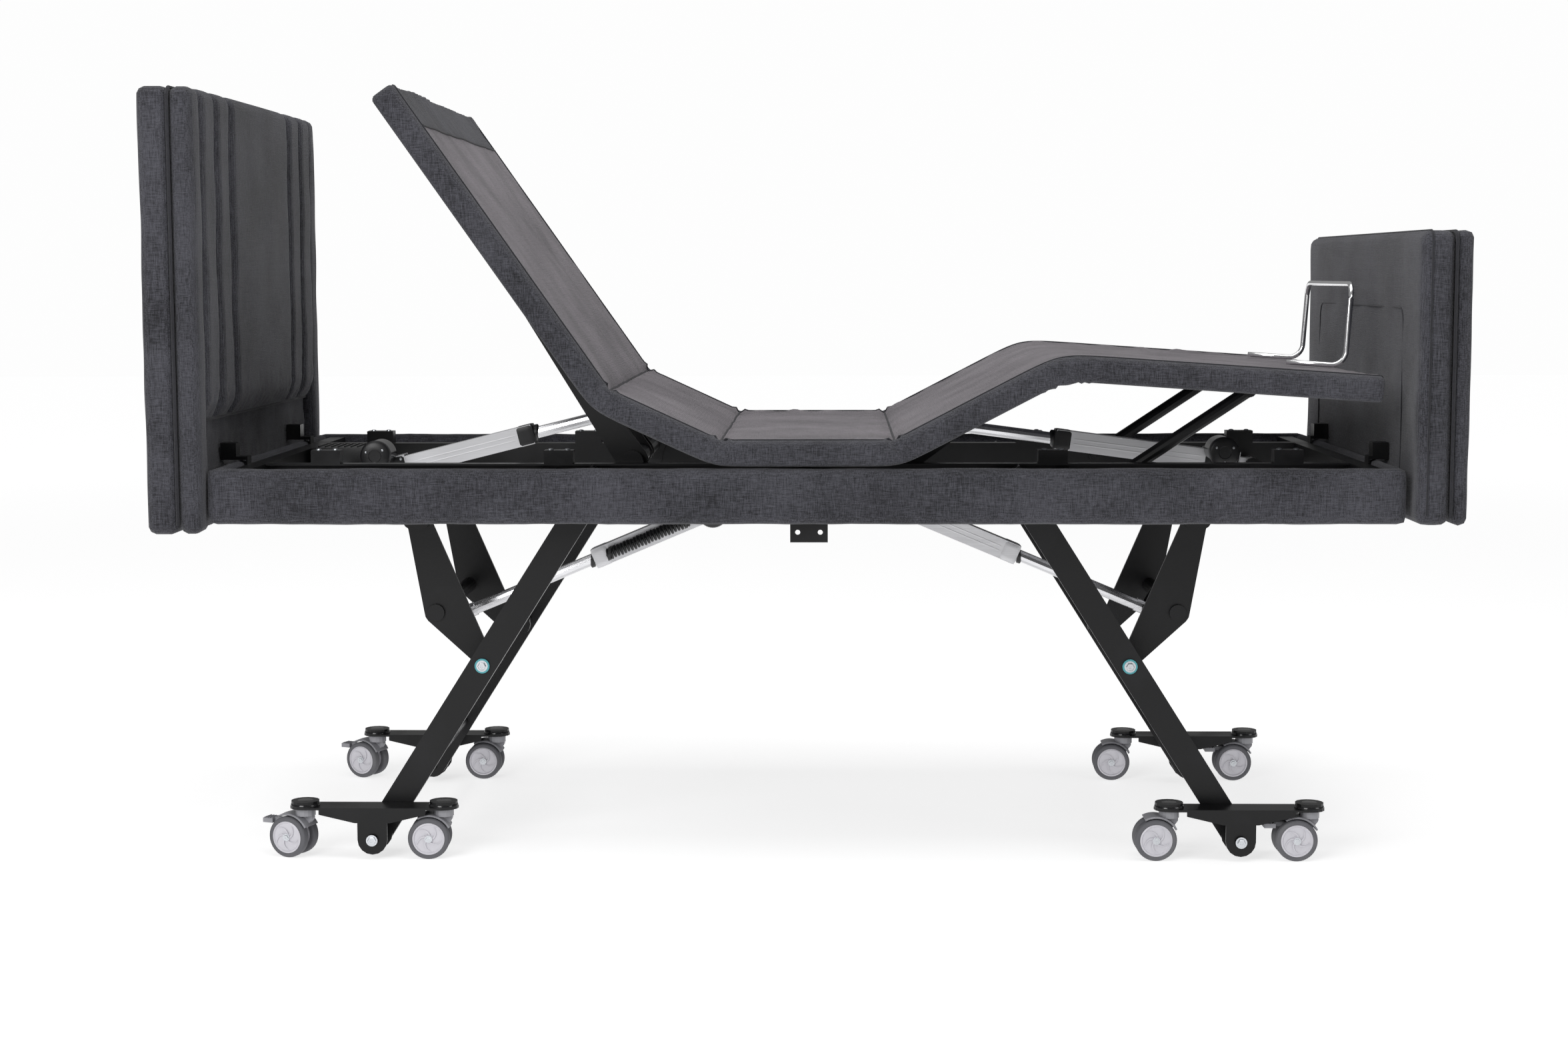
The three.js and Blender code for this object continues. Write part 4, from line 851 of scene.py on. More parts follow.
def across_top(r):
    """The points of row r from border to border over the lying surface."""
    return [deck_points[r * COUNT + k] for k in (*range(COUNT - BORDER, COUNT), *range(BORDER + 1))]


def tube_along(name, points, radius, material, sides=6):
    """A closed round cord that follows points, which are close together."""
    verts = []
    for i, point in enumerate(points):
        ahead = (points[min(i + 1, len(points) - 1)] - points[max(i - 1, 0)]).normalized()
        across = ahead.cross(Vector((0.02, 0.03, 1))).normalized()
        over = across.cross(ahead)
        for k in range(sides):
            a = 2 * math.pi * k / sides
            verts.append(point + across * radius * math.cos(a) + over * radius * math.sin(a))
    return mesh_piece(name, verts, strip_faces(0, len(points) - 1, sides), material)


for (name, cover_facts), first, last in zip(COVERS.items(), cuts, cuts[1:]):
    first_body, second_body, fold, nodes = cover_facts
    cover = mesh_piece(
        name, deck_points[first * COUNT:(last + 1) * COUNT], strip_faces(first, last, COUNT),
        charcoal_cloth, taupe_cloth)
    for polygon in cover.data.polygons:
        if len(polygon.vertices) > 4:
            polygon.use_smooth = False
            continue
        row, k = divmod(min(polygon.vertices), COUNT)
        stations = [SIDE_OF[v % COUNT] for v in polygon.vertices]
        lying = max(stations) <= BORDER and rows[first + row]["path"] >= PLEAT_BAND
        polygon.material_index = 1 if lying else 0
    work = bmesh.new()
    work.from_mesh(cover.data)
    bmesh.ops.recalc_face_normals(work, faces=work.faces)
    for end_face in [face for face in work.faces if len(face.verts) > 4]:
        for edge in end_face.edges:
            edge.smooth = False
    work.to_mesh(cover.data)
    work.free()
    pivot = joint_place(fold)
    reach = BLEND_REACH if fold == "calf_fold" else -BLEND_REACH
    start = pivot + slope(rows[folds[fold]["first"] - 1]["angle"])[1] * reach
    end = pivot + slope(rows[folds[fold]["last"]]["angle"])[1] * reach
    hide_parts(*nodes)
    pieces = [cover]
    for side, border in (("left", BORDER), ("right", COUNT - BORDER)):
        line = [deck_points[r * COUNT + border] + slope(rows[r]["angle"])[1] * 0.0002
                for r in range(max(first, 2), min(last, len(rows) - 3) + 1)]
        pieces.append(tube_along(f"{name}_piping_{side}", line, PIPING_RADIUS, seam_cloth))
    for piece in pieces:
        tuple(end)
        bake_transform(piece)
    if fold != "calf_fold":
        seam = across_top((folds[fold]["first"] + folds[fold]["last"]) // 2)
        stitch = tube_along(f"{name}_fold_seam", seam, FOLD_SEAM_RADIUS, seam_cloth)
        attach(stitch, first_body)

band_row = next(r for r, row in enumerate(rows) if row["path"] >= PLEAT_BAND)
band_seam = tube_along("back_cross_seam", across_top(band_row), CROSS_SEAM_RADIUS, seam_cloth)
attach(band_seam, "back")

# ---------------------------------------------------------------- casters
# Twin wheels with dark grey tyres moulded over pale grey hubs, whose faces carry a swirl of curved
# ribs. A grey hood covers the top of each pair, and the outer one of each bogie has a ribbed pedal.

grey_plastic = painted("grey_nylon", (0.27, 0.27, 0.29), (0.36, 0.36, 0.38), 0.5, 1200, 0.42, 0.0001)
hub_plastic = painted("pale_grey_nylon", (0.58, 0.57, 0.61), (0.46, 0.46, 0.49), 0.5, 1200, 0.38, 0.0001)
tyre_rubber = painted("grey_tyre", (0.10, 0.10, 0.11), (0.20, 0.20, 0.20), 0.7, 600, 0.72, 0.0003)
WHEEL_SEGMENTS = 56
WHEEL_RADIUS, TYRE_BORE, TYRE_SOFTNESS = 0.0370, 0.0275, 0.0045
WHEEL_INNER_FACE, WHEEL_OUTER_FACE = 0.008, 0.025
HUB_PROFILE = ((0.0004, 0.009), (0.0285, 0.009), (0.0285, 0.0245), (0.0262, 0.0258), (0.0245, 0.0235),
               (0.0075, 0.0225), (0.0065, 0.0250), (0.0004, 0.0254))
HUB_RIBS, HUB_RIB_STEPS = 5, 8
HUB_RIB_START, HUB_RIB_REACH, HUB_RIB_TURN = 0.006, 0.017, 1.1
HUB_RIB_HALF_WIDTH, HUB_RIB_BASE, HUB_RIB_TOP = 0.0014, 0.0245, 0.0247
HOOD_RADIUS = 0.0400
HOOD_PROFILE = ((HOOD_RADIUS, -0.0225), (HOOD_RADIUS + 0.0022, -0.0205), (HOOD_RADIUS + 0.003, 0),
                (HOOD_RADIUS + 0.0022, 0.0205), (HOOD_RADIUS, 0.0225), (HOOD_RADIUS - 0.0012, 0.0205),
                (HOOD_RADIUS - 0.0012, -0.0205))
HOOD_ARC = (math.radians(28), math.radians(118))
PLACES = ("outer", "inner")


def turned(profile, segments, axle, centre, arc=(0, 2 * math.pi)):
    """Verts and faces of a closed profile of (radius, offset) turned about the axle through centre."""
    across = Vector((0, 0, 1)) if abs(axle.z) < 0.9 else Vector((1, 0, 0))
    side = axle.cross(across).normalized()
    full = arc[1] - arc[0] > 2 * math.pi - 1e-6
    count = segments if full else segments + 1
    verts, faces = [], []
    for i in range(count):
        a = arc[0] + (arc[1] - arc[0]) * i / segments
        spoke = side * math.cos(a) + across * math.sin(a)
        verts += [centre + spoke * radius + axle * offset for radius, offset in profile]
    n = len(profile)
    for i in range(segments):
        j = (i + 1) % count
        for k in range(n):
            m = (k + 1) % n
            faces.append((i * n + k, i * n + m, j * n + m, j * n + k))
    if not full:
        faces.append(tuple(range(n)))
        faces.append(tuple((count - 1) * n + k for k in range(n))[::-1])
    return verts, faces


def solid_piece(name, verts, faces, material, body, slot):
    """A closed mesh piece with its faces turned outward, riding on a body."""
    piece = mesh_piece(name, verts, faces, material)
    work = bmesh.new()
    work.from_mesh(piece.data)
    bmesh.ops.remove_doubles(work, verts=work.verts, dist=1e-6)
    bmesh.ops.recalc_face_normals(work, faces=work.faces)
    work.to_mesh(piece.data)
    work.free()
    bpy.ops.object.select_all(action="DESELECT")
    piece.select_set(True)
    bpy.context.view_layer.objects.active = piece
    bpy.ops.object.shade_smooth_by_angle(angle=math.radians(35))
    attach(piece, body)
    return piece


def tyre_profile():
    """The section of one tyre, with both shoulders rounded."""
    soft = TYRE_SOFTNESS
    radius, inner, outer = WHEEL_RADIUS - soft, WHEEL_INNER_FACE + soft, WHEEL_OUTER_FACE - soft
    angles = [math.radians(22.5 * i) for i in range(5)]
    outer_shoulder = [(radius + soft * math.sin(a), outer + soft * math.cos(a)) for a in angles]
    inner_shoulder = [(radius + soft * math.cos(a), inner - soft * math.sin(a)) for a in angles]
    return [(TYRE_BORE, WHEEL_OUTER_FACE - 0.001), *outer_shoulder, *inner_shoulder,
            (TYRE_BORE, WHEEL_INNER_FACE)]


def hub_rib(centre, axle, turn, side):
    """One curved rib of the swirl, as a thin bent bar that stands just off the hub's dished face."""
    across = Vector((0, 0, 1))
    level = axle.cross(across).normalized()
    verts, faces = [], []
    for i in range(HUB_RIB_STEPS + 1):
        t = i / HUB_RIB_STEPS
        a = turn + HUB_RIB_TURN * t
        spoke = level * math.cos(a) + across * math.sin(a)
        tangent = level * -math.sin(a) + across * math.cos(a)
        middle = centre + spoke * (HUB_RIB_START + HUB_RIB_REACH * t)
        half = HUB_RIB_HALF_WIDTH * (1.2 - 0.5 * t)
        base, top = HUB_RIB_BASE, HUB_RIB_TOP
        for width, out in ((-half, base), (half, base), (half, top), (-half, top)):
            verts.append(middle + tangent * width + axle * side * out)
    for i in range(HUB_RIB_STEPS):
        for k in range(4):
            m = (k + 1) % 4
            faces.append((i * 4 + k, i * 4 + m, (i + 1) * 4 + m, (i + 1) * 4 + k))
    faces.append((3, 2, 1, 0))
    faces.append(tuple(HUB_RIB_STEPS * 4 + k for k in range(4)))
    return verts, faces


def joined(parts):
    """Several lots of vertices and faces as one."""
    verts, faces = [], []
    for some_verts, some_faces in parts:
        base = len(verts)
        verts += some_verts
        faces += [tuple(base + k for k in face) for face in some_faces]
    return verts, faces


for caster in [f"{corner}_{place}" for corner in CORNERS for place in PLACES]:
    roll = JOINTS[f"{caster}_roll"]
    centre, axle = Vector(roll["pos_m"]), Vector(roll["axis"]).normalized()
    tyres, hubs = [], []
    for side in (-1, 1):
        tyre_section = [(radius, side * offset) for radius, offset in tyre_profile()]
        tyres.append(turned(tyre_section, WHEEL_SEGMENTS, axle, centre))
        hub_section = [(radius, side * offset) for radius, offset in HUB_PROFILE]
        hubs.append(turned(hub_section, WHEEL_SEGMENTS, axle, centre))
        for rib in range(HUB_RIBS):
            hubs.append(hub_rib(centre, axle, rib * 2 * math.pi / HUB_RIBS, side))
    tyre = solid_piece(f"{caster}_tyres", *joined(tyres), tyre_rubber, f"{caster}_wheels", "tyre")
    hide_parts(f"{caster}_wheels")
    solid_piece(f"{caster}_hubs", *joined(hubs), hub_plastic, f"{caster}_wheels", "grey_plastic")
    stem = Vector(JOINTS[f"{caster}_swivel"]["pos_m"])
    ahead = (stem - centre).to_2d().to_3d().normalized()
    toward = axle.cross(Vector((0, 0, 1))).normalized().dot(ahead) > 0
    arc = HOOD_ARC if toward else tuple(math.pi - a for a in reversed(HOOD_ARC))
    solid_piece(f"{caster}_hood", *turned(HOOD_PROFILE, 20, axle, centre, arc), grey_plastic,
                f"{caster}_fork", "grey_plastic")
dress(grey_plastic, *(f"{corner}_{place}_fork" for corner in CORNERS for place in PLACES))
dress(grey_plastic, *(f"{corner}_brake_pedal" for corner in CORNERS))

# ---------------------------------------------------------------- bogie caps and pedals
# Glossy black caps cover the casters' stem nuts on top of each bogie. The brake pedals are moulded
# in grey nylon with raised grip bars.

gloss_plastic = painted(
    "gloss_black_plastic", (0.008, 0.008, 0.009), (0.03, 0.03, 0.03), 0.3, 500, 0.16, 0.00004)
CAP_PROFILE = ((0.0003, 0.0094), (0.0115, 0.0094), (0.0160, 0.0085), (0.0182, 0.0062), (0.0196, 0.0052),
               (0.0245, 0.0048), (0.0258, 0.0030), (0.0262, 0.0002), (0.0262, -0.0006), (0.0003, -0.0006))
BOGIE_TOP = 0.0928
PEDAL_MIDDLE, PEDAL_TOP = 0.071, 0.0660
GRIP_BARS, GRIP_PITCH = 4, 0.005
GRIP_BAR = ((-0.0012, -0.0115, -0.0008), (0.0012, 0.0115, 0.0014))
UP = Vector((0, 0, 1))

for corner in CORNERS:
    for place in PLACES:
        stem = Vector(JOINTS[f"{corner}_{place}_swivel"]["pos_m"])
        top_of_bogie = Vector((stem.x, stem.y, BOGIE_TOP))
        solid_piece(f"{corner}_{place}_cap", *turned(CAP_PROFILE, 40, UP, top_of_bogie),
                    gloss_plastic, f"{corner}_bogie", "black_plastic")
    stem = Vector(JOINTS[f"{corner}_outer_swivel"]["pos_m"])
    wheel = Vector(JOINTS[f"{corner}_outer_roll"]["pos_m"])
    backward = (wheel - stem).to_2d().to_3d().normalized()
    across = UP.cross(backward)
    turn = Matrix((backward, across, UP)).transposed()
    bars = []
    for i in range(GRIP_BARS):
        centre = stem + backward * (PEDAL_MIDDLE + GRIP_PITCH * (i - (GRIP_BARS - 1) / 2))
        verts, faces = rounded_block(*GRIP_BAR, 0.0007, 0.003)
        bars.append(([Vector((centre.x, centre.y, PEDAL_TOP)) + turn @ v for v in verts], faces))
    solid_piece(f"{corner}_pedal_grip", *joined(bars), grey_plastic, f"{corner}_pedal", "grey_plastic")

# ---------------------------------------------------------------- bolts
# Zinc-plated bolts hold the pivots. The legs' middle pivots show a pale blue nylon washer under the
# head, and pan-head screws fix the deck's support blocks to the rails.

zinc = painted("zinc_plate", (0.62, 0.64, 0.67), (0.45, 0.46, 0.48), 0.5, 900, 0.28, 0.00005, 0.9)
blue_nylon = painted("blue_nylon", (0.08, 0.34, 0.38), (0.05, 0.22, 0.25), 0.4, 900, 0.5, 0.00005)
PIVOT_BOLT, BOGIE_BOLT, AXLE_NUT = (0.013, 0.0055), (0.013, 0.0048), (0.0085, 0.0024)
AXLE_NUT_PLACE = 0.0252
WASHER_PROFILE = ((0.0070, -0.0030), (0.0130, -0.0030), (0.0135, -0.0010), (0.0130, 0.0006),
                  (0.0070, 0.0006))
SCREW_PROFILE = ((0.0003, 0.0026), (0.0020, 0.0026), (0.0042, 0.0020), (0.0055, 0.0004), (0.0055, -0.0004),
                 (0.0003, -0.0004))
BLOCK_TOP, BLOCK_X, BLOCK_Y = 0.722, (0.857, 0.440), 0.265
BLOCK_SCREWS = (-0.015, 0.015)


def hex_bolt(place, axis, across_flats, height):
    """A washer and a chamfered hexagon head, standing on place along axis."""
    rim = across_flats * 0.78
    washer = turned(((0.0003, 0), (rim, 0), (rim, 0.0012), (0.0003, 0.0012)), 32, axis, place)
    radius = across_flats / 2 / math.cos(math.radians(30))
    head = turned(((0.0003, 0.001), (radius, 0.001), (radius, height * 0.8), (radius * 0.86, height),
                   (radius * 0.45, height), (radius * 0.4, height * 0.85), (0.0003, height * 0.85)),
                  6, axis, place)
    return joined([washer, head])


for end in ENDS:
    low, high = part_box(f"{end}_link_frame")
    pivot = Vector(JOINTS[f"{end}_leg_swing"]["pos_m"])
    for side, sign in (("right", -1), ("left", 1)):
        outward = Vector((0, sign, 0))
        seat = Vector((pivot.x, high[1] if sign > 0 else low[1], pivot.z))
        solid_piece(f"{end}_{side}_pivot_bolt", *hex_bolt(seat, outward, *PIVOT_BOLT), zinc,
                    f"{end}_link", "aluminium")
        ring = turned(WASHER_PROFILE, 36, outward, seat)
        solid_piece(f"{end}_{side}_pivot_washer", *ring, blue_nylon, f"{end}_link", "grey_plastic")
        corner = f"{end}_{side}"
        bolt = Vector(JOINTS[f"{corner}_bogie_level"]["pos_m"])
        low_bogie, high_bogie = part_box(f"{corner}_bogie")
        face = Vector((bolt.x, high_bogie[1] if sign > 0 else low_bogie[1], bolt.z))
        solid_piece(f"{corner}_bogie_bolt", *hex_bolt(face, outward, *BOGIE_BOLT), zinc,
                    f"{corner}_bogie", "aluminium")
        for place in PLACES:
            roll = JOINTS[f"{corner}_{place}_roll"]
            axle = Vector(roll["axis"]).normalized()
            axle = axle if axle.dot(outward) > 0 else -axle
            for name, direction in (("out", axle), ("in", -axle)):
                nut = Vector(roll["pos_m"]) + direction * AXLE_NUT_PLACE
                solid_piece(f"{corner}_{place}_axle_{name}", *hex_bolt(nut, direction, *AXLE_NUT), zinc,
                            f"{corner}_{place}_wheels", "aluminium")

screws = []
for x in (*BLOCK_X, *(-x for x in BLOCK_X)):
    for y in (-BLOCK_Y, BLOCK_Y):
        for shift in BLOCK_SCREWS:
            screws.append(turned(SCREW_PROFILE, 20, UP, Vector((x + shift, y, BLOCK_TOP))))
solid_piece("support_block_screws", *joined(screws), zinc, "chassis", "aluminium")

# ---------------------------------------------------------------- linear actuators
# Four electric actuators: a pale brushed aluminium tube with a black nylon gear case at its rear,
# a front cap with a wiper seal round the rod, and a motor across the rear with a black end cover.

metal_group, metal_in, metal_out = new_group(
    "brushed metal",
    {"Colour": (COLOR, (0.7, 0.7, 0.7, 1)), "Streak Colour": (COLOR, (0.5, 0.5, 0.5, 1)),
     "Roughness": (FLOAT, 0.3)},
    {"Colour": COLOR, "Roughness": FLOAT, "Height": FLOAT},
)
metal_place = add_node(metal_group, "ShaderNodeTexCoord")
metal_stretch = add_node(metal_group, "ShaderNodeMapping", {
    "Vector": metal_place.outputs["Object"], "Rotation": (0, math.radians(22), 0), "Scale": (3, 400, 400),
})
metal_streaks = add_node(metal_group, "ShaderNodeTexNoise", {
    "Vector": metal_stretch.outputs["Vector"], "Scale": 1.0, "Detail": 4.0,
})
metal_tint = add_node(metal_group, "ShaderNodeMixRGB", {
    "Fac": metal_streaks.outputs["Fac"],
    "Color1": metal_in.outputs["Colour"], "Color2": metal_in.outputs["Streak Colour"],
})
metal_gloss = add_node(metal_group, "ShaderNodeMath", {
    0: metal_streaks.outputs["Fac"], 1: 0.2, 2: metal_in.outputs["Roughness"],
}, operation="MULTIPLY_ADD")
metal_group.links.new(metal_tint.outputs[0], metal_out.inputs["Colour"])
metal_group.links.new(metal_gloss.outputs[0], metal_out.inputs["Roughness"])
metal_group.links.new(metal_streaks.outputs["Fac"], metal_out.inputs["Height"])


def brushed(name, colour, streak, roughness, metallic, bump):
    """A metal that places the brushed metal group."""
    material = new_material(name, roughness, metallic)
    tree = material.node_tree
    shader = tree.nodes["Principled BSDF"]
    surface = add_node(tree, "ShaderNodeGroup", node_tree=metal_group)
    surface.inputs["Colour"].default_value = (*colour, 1)
    surface.inputs["Streak Colour"].default_value = (*streak, 1)
    surface.inputs["Roughness"].default_value = roughness
    relief = add_node(tree, "ShaderNodeBump", {
        "Height": surface.outputs["Height"], "Distance": bump, "Strength": 0.5,
    })
    tree.links.new(surface.outputs["Colour"], shader.inputs["Base Color"])
    tree.links.new(surface.outputs["Roughness"], shader.inputs["Roughness"])
    tree.links.new(relief.outputs["Normal"], shader.inputs["Normal"])
    return material


tube_metal = brushed("anodised_tube", (0.80, 0.80, 0.82), (0.64, 0.64, 0.66), 0.30, 0.55, 0.00005)
rod_metal = brushed("ground_rod", (0.78, 0.78, 0.80), (0.66, 0.66, 0.68), 0.14, 0.95, 0.00002)
black_nylon = painted("black_nylon", (0.010, 0.010, 0.011), (0.04, 0.04, 0.04), 0.5, 700, 0.38, 0.0001)
GEAR_CASE = ((0.0245, -0.0218, -0.0212), (0.0930, 0.0218, 0.0232))
FRONT_CAP = ((-0.030, -0.0208, -0.0196), (0.0035, 0.0208, 0.0196))
MOTOR_PROFILE = ((0.0003, 0.017), (0.0275, 0.017), (0.0275, 0.074), (0.0262, 0.0755), (0.0003, 0.0755))
COVER_PROFILE = ((0.0003, 0.0750), (0.0282, 0.0750), (0.0286, 0.0860), (0.0270, 0.0905), (0.0235, 0.0925),
                 (0.0120, 0.0928), (0.0110, 0.0918), (0.0003, 0.0918))
SEAL_PROFILE = ((0.0112, -0.002), (0.0165, -0.002), (0.0160, 0.0045), (0.0130, 0.0068), (0.0112, 0.0068))
COVER_SCREW_CIRCLE, COVER_SCREW_SEAT = 0.018, 0.0926
COVER_SCREW = ((0.0003, 0.0016), (0.0018, 0.0014), (0.0026, 0), (0.0003, -0.0004))
CASE_SCREW = ((0.0003, 0.0014), (0.0020, 0.0012), (0.0028, 0), (0.0003, -0.0004))
CASE_SCREW_X, CASE_SCREW_Y, CASE_SCREW_Z = (0.032, 0.084), 0.0216, 0.015
TUBE_RIB_HEIGHT, TUBE_RIB_START, TUBE_RIB_END, TUBE_HALF = 0.0045, 0.098, 0.034, 0.0200
TUBE_RIB_HALF_DEPTH, TUBE_RIB_HALF_WIDTH = 0.0006, 0.0012

# Each has its housing's body, its rear pin, its stroke's joint, the side that its motor points to,
# and where the motor's axis lies along the tube and above it.
actuators = {
    "back_actuator": ("back_housing", (-0.846, 0, 0.652), "back_actuator_stroke", -1, (0.052, 0.034)),
    "leg_actuator": ("leg_housing", (0.838, 0, 0.675), "leg_actuator_stroke", -1, (0.067, 0.020)),
    "head_lift_actuator": (
        "head_lift_housing", (-0.090, -0.034, 0.630), "head_lift_stroke", -1, (0.090, 0)),
    "foot_lift_actuator": (
        "foot_lift_housing", (0.090, 0.034, 0.630), "foot_lift_stroke", 1, (0.090, 0)),
}
placed = {}


def in_frame(frame_of, block, shift=0.0):
    """A block's vertices and faces, moved into an actuator's frame and shift along its tube."""
    verts, faces = block
    return [frame_of @ (v + Vector((shift, 0, 0))) for v in verts], faces


for name, (housing, rear, stroke, motor_side, motor) in actuators.items():
    rear = Vector(rear)
    is_lift = "lift" in name
    low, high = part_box(f"{name}_rod")
    ahead = Vector(JOINTS[stroke]["axis"]).normalized()
    if ahead.dot((low + high) / 2 - rear) < 0:
        ahead = -ahead
    across = Vector((0, 1, 0))
    over = ahead.cross(across)
    over = over if over.z > 0 else -over
    frame_of = Matrix.Translation(rear) @ Matrix((ahead, across, over)).transposed().to_4x4()
    tube = frame["nodes"][f"{name}_housing"]
    reach = max((vertex.co - rear).dot(ahead) for vertex in tube.data.vertices)
    placed[name] = (frame_of, reach)
    case = in_frame(frame_of, rounded_block(*GEAR_CASE, 0.004, 0.006))
    solid_piece(f"{name}_gear_case", *case, black_nylon, housing, "black_plastic")
    cap = in_frame(frame_of, rounded_block(*FRONT_CAP, 0.0035, 0.006), reach)
    solid_piece(f"{name}_front_cap", *cap, tube_metal if is_lift else black_nylon, housing,
                "black_plastic")
    seal = turned(SEAL_PROFILE, 32, ahead, frame_of @ Vector((reach + 0.003, 0, 0)))
    solid_piece(f"{name}_wiper_seal", *seal, black_nylon, housing, "black_plastic")
    motor_axis = across * motor_side
    motor_centre = frame_of @ Vector((motor[0], 0, motor[1]))
    solid_piece(f"{name}_motor", *turned(MOTOR_PROFILE, 48, motor_axis, motor_centre),
                tube_metal if is_lift else gloss_plastic, housing, "aluminium")
    solid_piece(f"{name}_motor_cover", *turned(COVER_PROFILE, 48, motor_axis, motor_centre),
                black_nylon, housing, "black_plastic")
    heads = []
    for i in range(3):
        a = 2 * math.pi * i / 3 + 0.4
        spoke = (ahead * math.cos(a) + over * math.sin(a)) * COVER_SCREW_CIRCLE
        spot = motor_centre + spoke + motor_axis * COVER_SCREW_SEAT
        heads.append(turned(COVER_SCREW, 14, motor_axis, spot))
    for x in CASE_SCREW_X:
        for side in (-1, 1):
            spot = frame_of @ Vector((x, side * CASE_SCREW_Y, CASE_SCREW_Z))
            heads.append(turned(CASE_SCREW, 14, across * side, spot))
    solid_piece(f"{name}_screws", *joined(heads), zinc, housing, "aluminium")
    strips = []
    for side in (-1, 1):
        for height in (-TUBE_RIB_HEIGHT, TUBE_RIB_HEIGHT):
            face = side * TUBE_HALF
            near = (TUBE_RIB_START, face - TUBE_RIB_HALF_DEPTH, height - TUBE_RIB_HALF_WIDTH)
            far = (reach - TUBE_RIB_END, face + TUBE_RIB_HALF_DEPTH, height + TUBE_RIB_HALF_WIDTH)
            strips.append(in_frame(frame_of, rounded_block(near, far, 0.0005, 0.02)))
    solid_piece(f"{name}_tube_ribs", *joined(strips), tube_metal, housing, "aluminium")
    dress(tube_metal, f"{name}_housing")
    dress(rod_metal, f"{name}_rod")

# ---------------------------------------------------------------- curly cords
# Each lift actuator carries its spare lead as a black curly cord, clipped along the outer side of
# its tube by two nylon clips, with a straight tail that runs back to the gear case.

cord_jacket = painted("cord_jacket", (0.010, 0.010, 0.011), (0.03, 0.03, 0.03), 0.3, 900, 0.42, 0.0001)
COIL_LENGTH, COIL_SETBACK, COIL_RADIUS, WIRE_RADIUS = 0.180, 0.020, 0.0092, 0.0026
COIL_PITCH, TURN_POINTS = 0.0068, 16
COIL_Y = 0.033
COIL_SWAY = 0.0006
TAIL_POINTS, TAIL_SAG = 13, 0.004
TAIL_END = (0.088, 0.0215, -0.010)
CLIP_INSET = 0.012
CLIP_PROFILE = ((0.0118, -0.003), (0.0132, -0.003), (0.0132, 0.003), (0.0118, 0.003))

for end, sign in (("head", -1), ("foot", 1)):
    frame_of, reach = placed[f"{end}_lift_actuator"]
    first = reach - COIL_SETBACK - COIL_LENGTH
    turns = int(COIL_LENGTH / COIL_PITCH) - 1
    coil = []
    for i in range(turns * TURN_POINTS + 1):
        a = 2 * math.pi * i / TURN_POINTS
        x = first + 0.005 + COIL_PITCH * i / TURN_POINTS
        z = COIL_RADIUS * math.sin(a) + COIL_SWAY * math.sin(i * 0.11)
        coil.append(frame_of @ Vector((x, sign * COIL_Y + COIL_RADIUS * math.cos(a), z)))
    helix = tube_along(f"{end}_coil", coil, WIRE_RADIUS, cord_jacket, sides=8)
    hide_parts(f"{end}_curly_cord")
    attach(helix, f"{end}_lift_housing")
    tail = []
    leave = frame_of @ Vector((TAIL_END[0], sign * TAIL_END[1], TAIL_END[2]))
    for i in range(TAIL_POINTS):
        t = i / (TAIL_POINTS - 1)
        sag = frame_of.to_3x3() @ Vector((0, sign * TAIL_SAG, -TAIL_SAG)) * math.sin(math.pi * t)
        tail.append(coil[0].lerp(leave, t) + sag)
    lead = tube_along(f"{end}_coil_tail", tail, WIRE_RADIUS, cord_jacket, sides=8)
    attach(lead, f"{end}_lift_housing")
    along = frame_of.to_3x3() @ Vector((1, 0, 0))
    clips = []
    for spot in (first + CLIP_INSET, first + COIL_LENGTH - CLIP_INSET):
        centre = frame_of @ Vector((spot, sign * COIL_Y, 0))
        clips.append(turned(CLIP_PROFILE, 32, along, centre))
    solid_piece(f"{end}_coil_clips", *joined(clips), black_nylon, f"{end}_lift_housing", "black_plastic")

# ---------------------------------------------------------------- control box
# The box that feeds the motors is moulded in black plastic, with cooling ribs on its lid and a row
# of sockets facing the middle of the bed.

LID_RIBS, LID_RIB_MARGIN, LID_RIB_HALF, LID_RIB_END_GAP, LID_RIB_PROUD = 9, 0.014, 0.0015, 0.012, 0.0025
SOCKETS, SOCKET_MARGIN, SOCKET_HALF, SOCKET_PROUD = 5, 0.016, 0.007, 0.004
SOCKET_LOW, SOCKET_HIGH = 0.010, 0.026
ROOT = 0.001

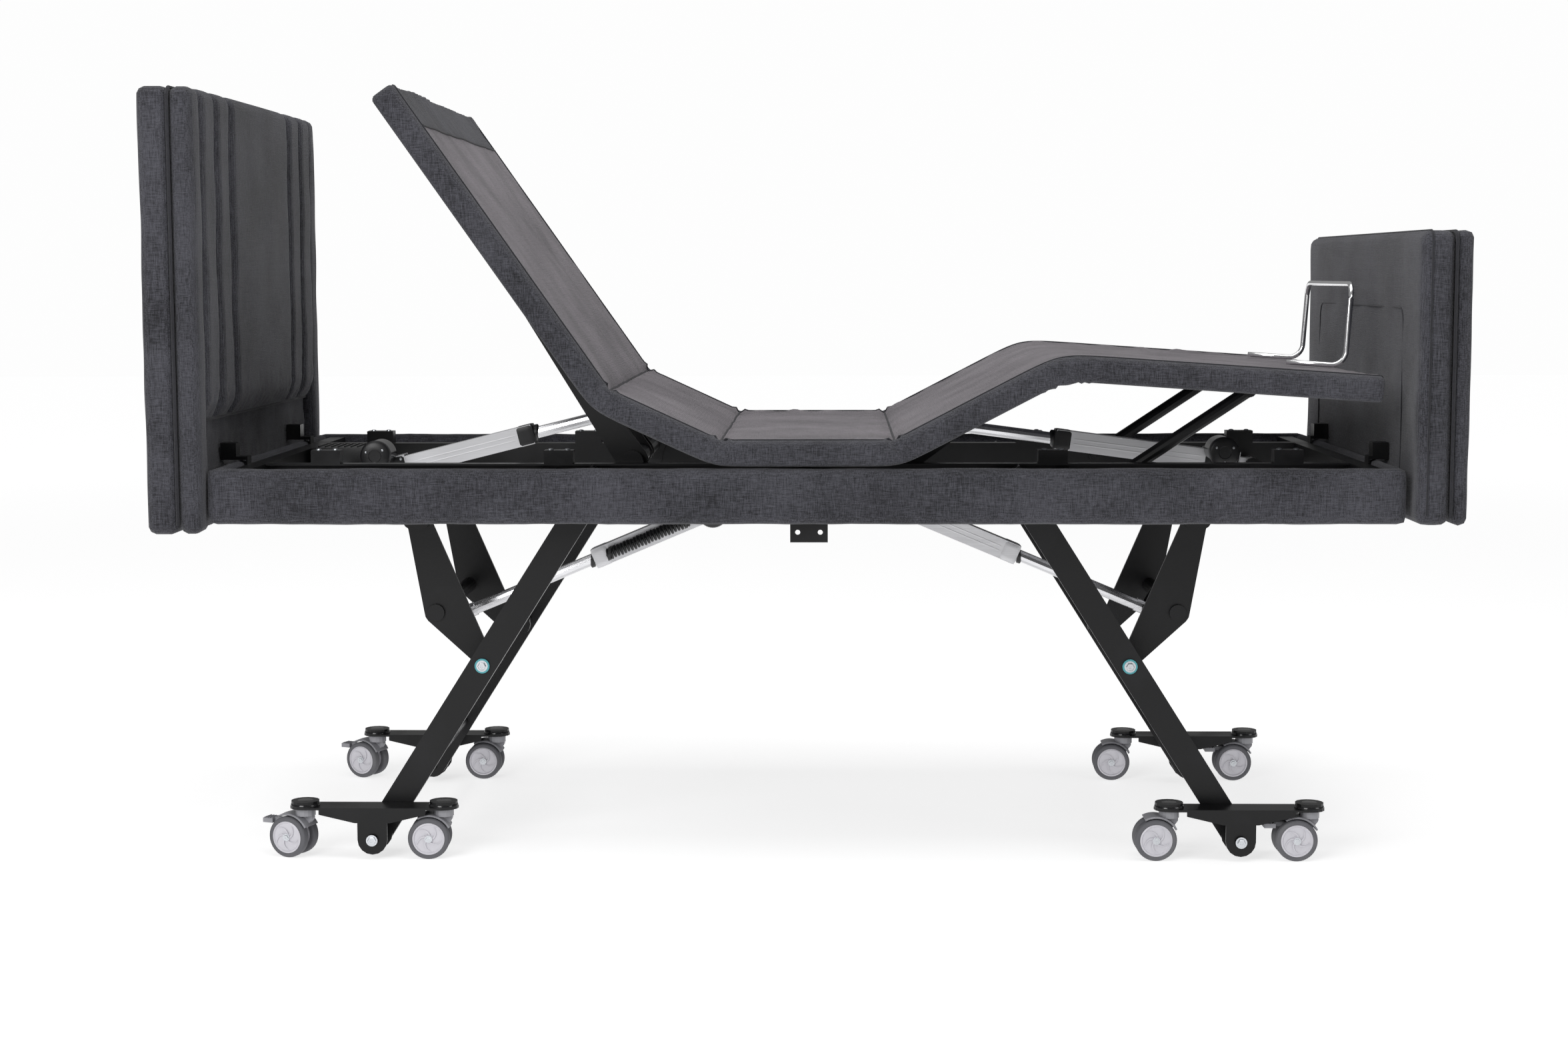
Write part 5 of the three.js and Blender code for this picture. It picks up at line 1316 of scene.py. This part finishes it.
low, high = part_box("control_box")
parts = [rounded_block(low, high, 0.004, 0.010)]
for i in range(LID_RIBS):
    x = low.x + LID_RIB_MARGIN + i * (high.x - low.x - 2 * LID_RIB_MARGIN) / (LID_RIBS - 1)
    near = (x - LID_RIB_HALF, low.y + LID_RIB_END_GAP, high.z - ROOT)
    far = (x + LID_RIB_HALF, high.y - LID_RIB_END_GAP, high.z + LID_RIB_PROUD)
    parts.append(rounded_block(near, far, 0.0008, 0.01))
for i in range(SOCKETS):
    y = low.y + SOCKET_MARGIN + i * (high.y - low.y - 2 * SOCKET_MARGIN) / (SOCKETS - 1)
    near = (high.x - ROOT, y - SOCKET_HALF, low.z + SOCKET_LOW)
    far = (high.x + SOCKET_PROUD, y + SOCKET_HALF, low.z + SOCKET_HIGH)
    parts.append(rounded_block(near, far, 0.0015, 0.005))
control = solid_piece("control_box_shell", *joined(parts), black_nylon, "chassis", "black_plastic")
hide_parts("control_box")

# ---------------------------------------------------------------- mattress retainer
# A chromed steel bar, bent up at the foot end of the deck to keep the mattress from sliding off.

chrome = brushed("chrome_plate", (0.90, 0.90, 0.91), (0.86, 0.86, 0.87), 0.06, 1.0, 0.00001)
BAR_RADIUS, BAR_BEND = 0.00475, 0.026
BAR_HALF, BAR_RISE, BAR_BASE, BAR_INSET = 0.205, 0.152, 0.105, 0.018
BEND_STEPS = 10
calf_along, calf_up = slope(CALF_ANGLE)
calf_origin = knee + calf_up * DECK_THICKNESS
bar_x, bar_low = CALF_LENGTH - BAR_INSET, BAR_RADIUS + 0.0005
bar_corners = [
    (bar_x - BAR_BASE, -BAR_HALF, bar_low), (bar_x, -BAR_HALF, bar_low), (bar_x, -BAR_HALF, BAR_RISE),
    (bar_x, BAR_HALF, BAR_RISE), (bar_x, BAR_HALF, bar_low), (bar_x - BAR_BASE, BAR_HALF, bar_low),
]
bar_corners = [calf_origin + calf_along * x + Vector((0, y, 0)) + calf_up * z for x, y, z in bar_corners]
bar = [bar_corners[0]]
for before, bend, after in zip(bar_corners, bar_corners[1:], bar_corners[2:]):
    into, out = (before - bend).normalized(), (after - bend).normalized()
    centre = bend + (into + out) * BAR_BEND
    for i in range(BEND_STEPS + 1):
        a = math.pi / 2 * i / BEND_STEPS
        bar.append(centre - out * BAR_BEND * math.cos(a) - into * BAR_BEND * math.sin(a))
bar.append(bar_corners[-1])
retainer = tube_along("retainer_bar", bar, BAR_RADIUS, chrome, sides=20)
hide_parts("mattress_retainer")
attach(retainer, "calf")

# ---------------------------------------------------------------- sizes
# The finished bed's box is kept beside the frame's own, so that the two can be compared.

boxes = {"cad": cad_box, "visual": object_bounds()}
{name: [list(corner) for corner in box] for name, box in boxes.items()}
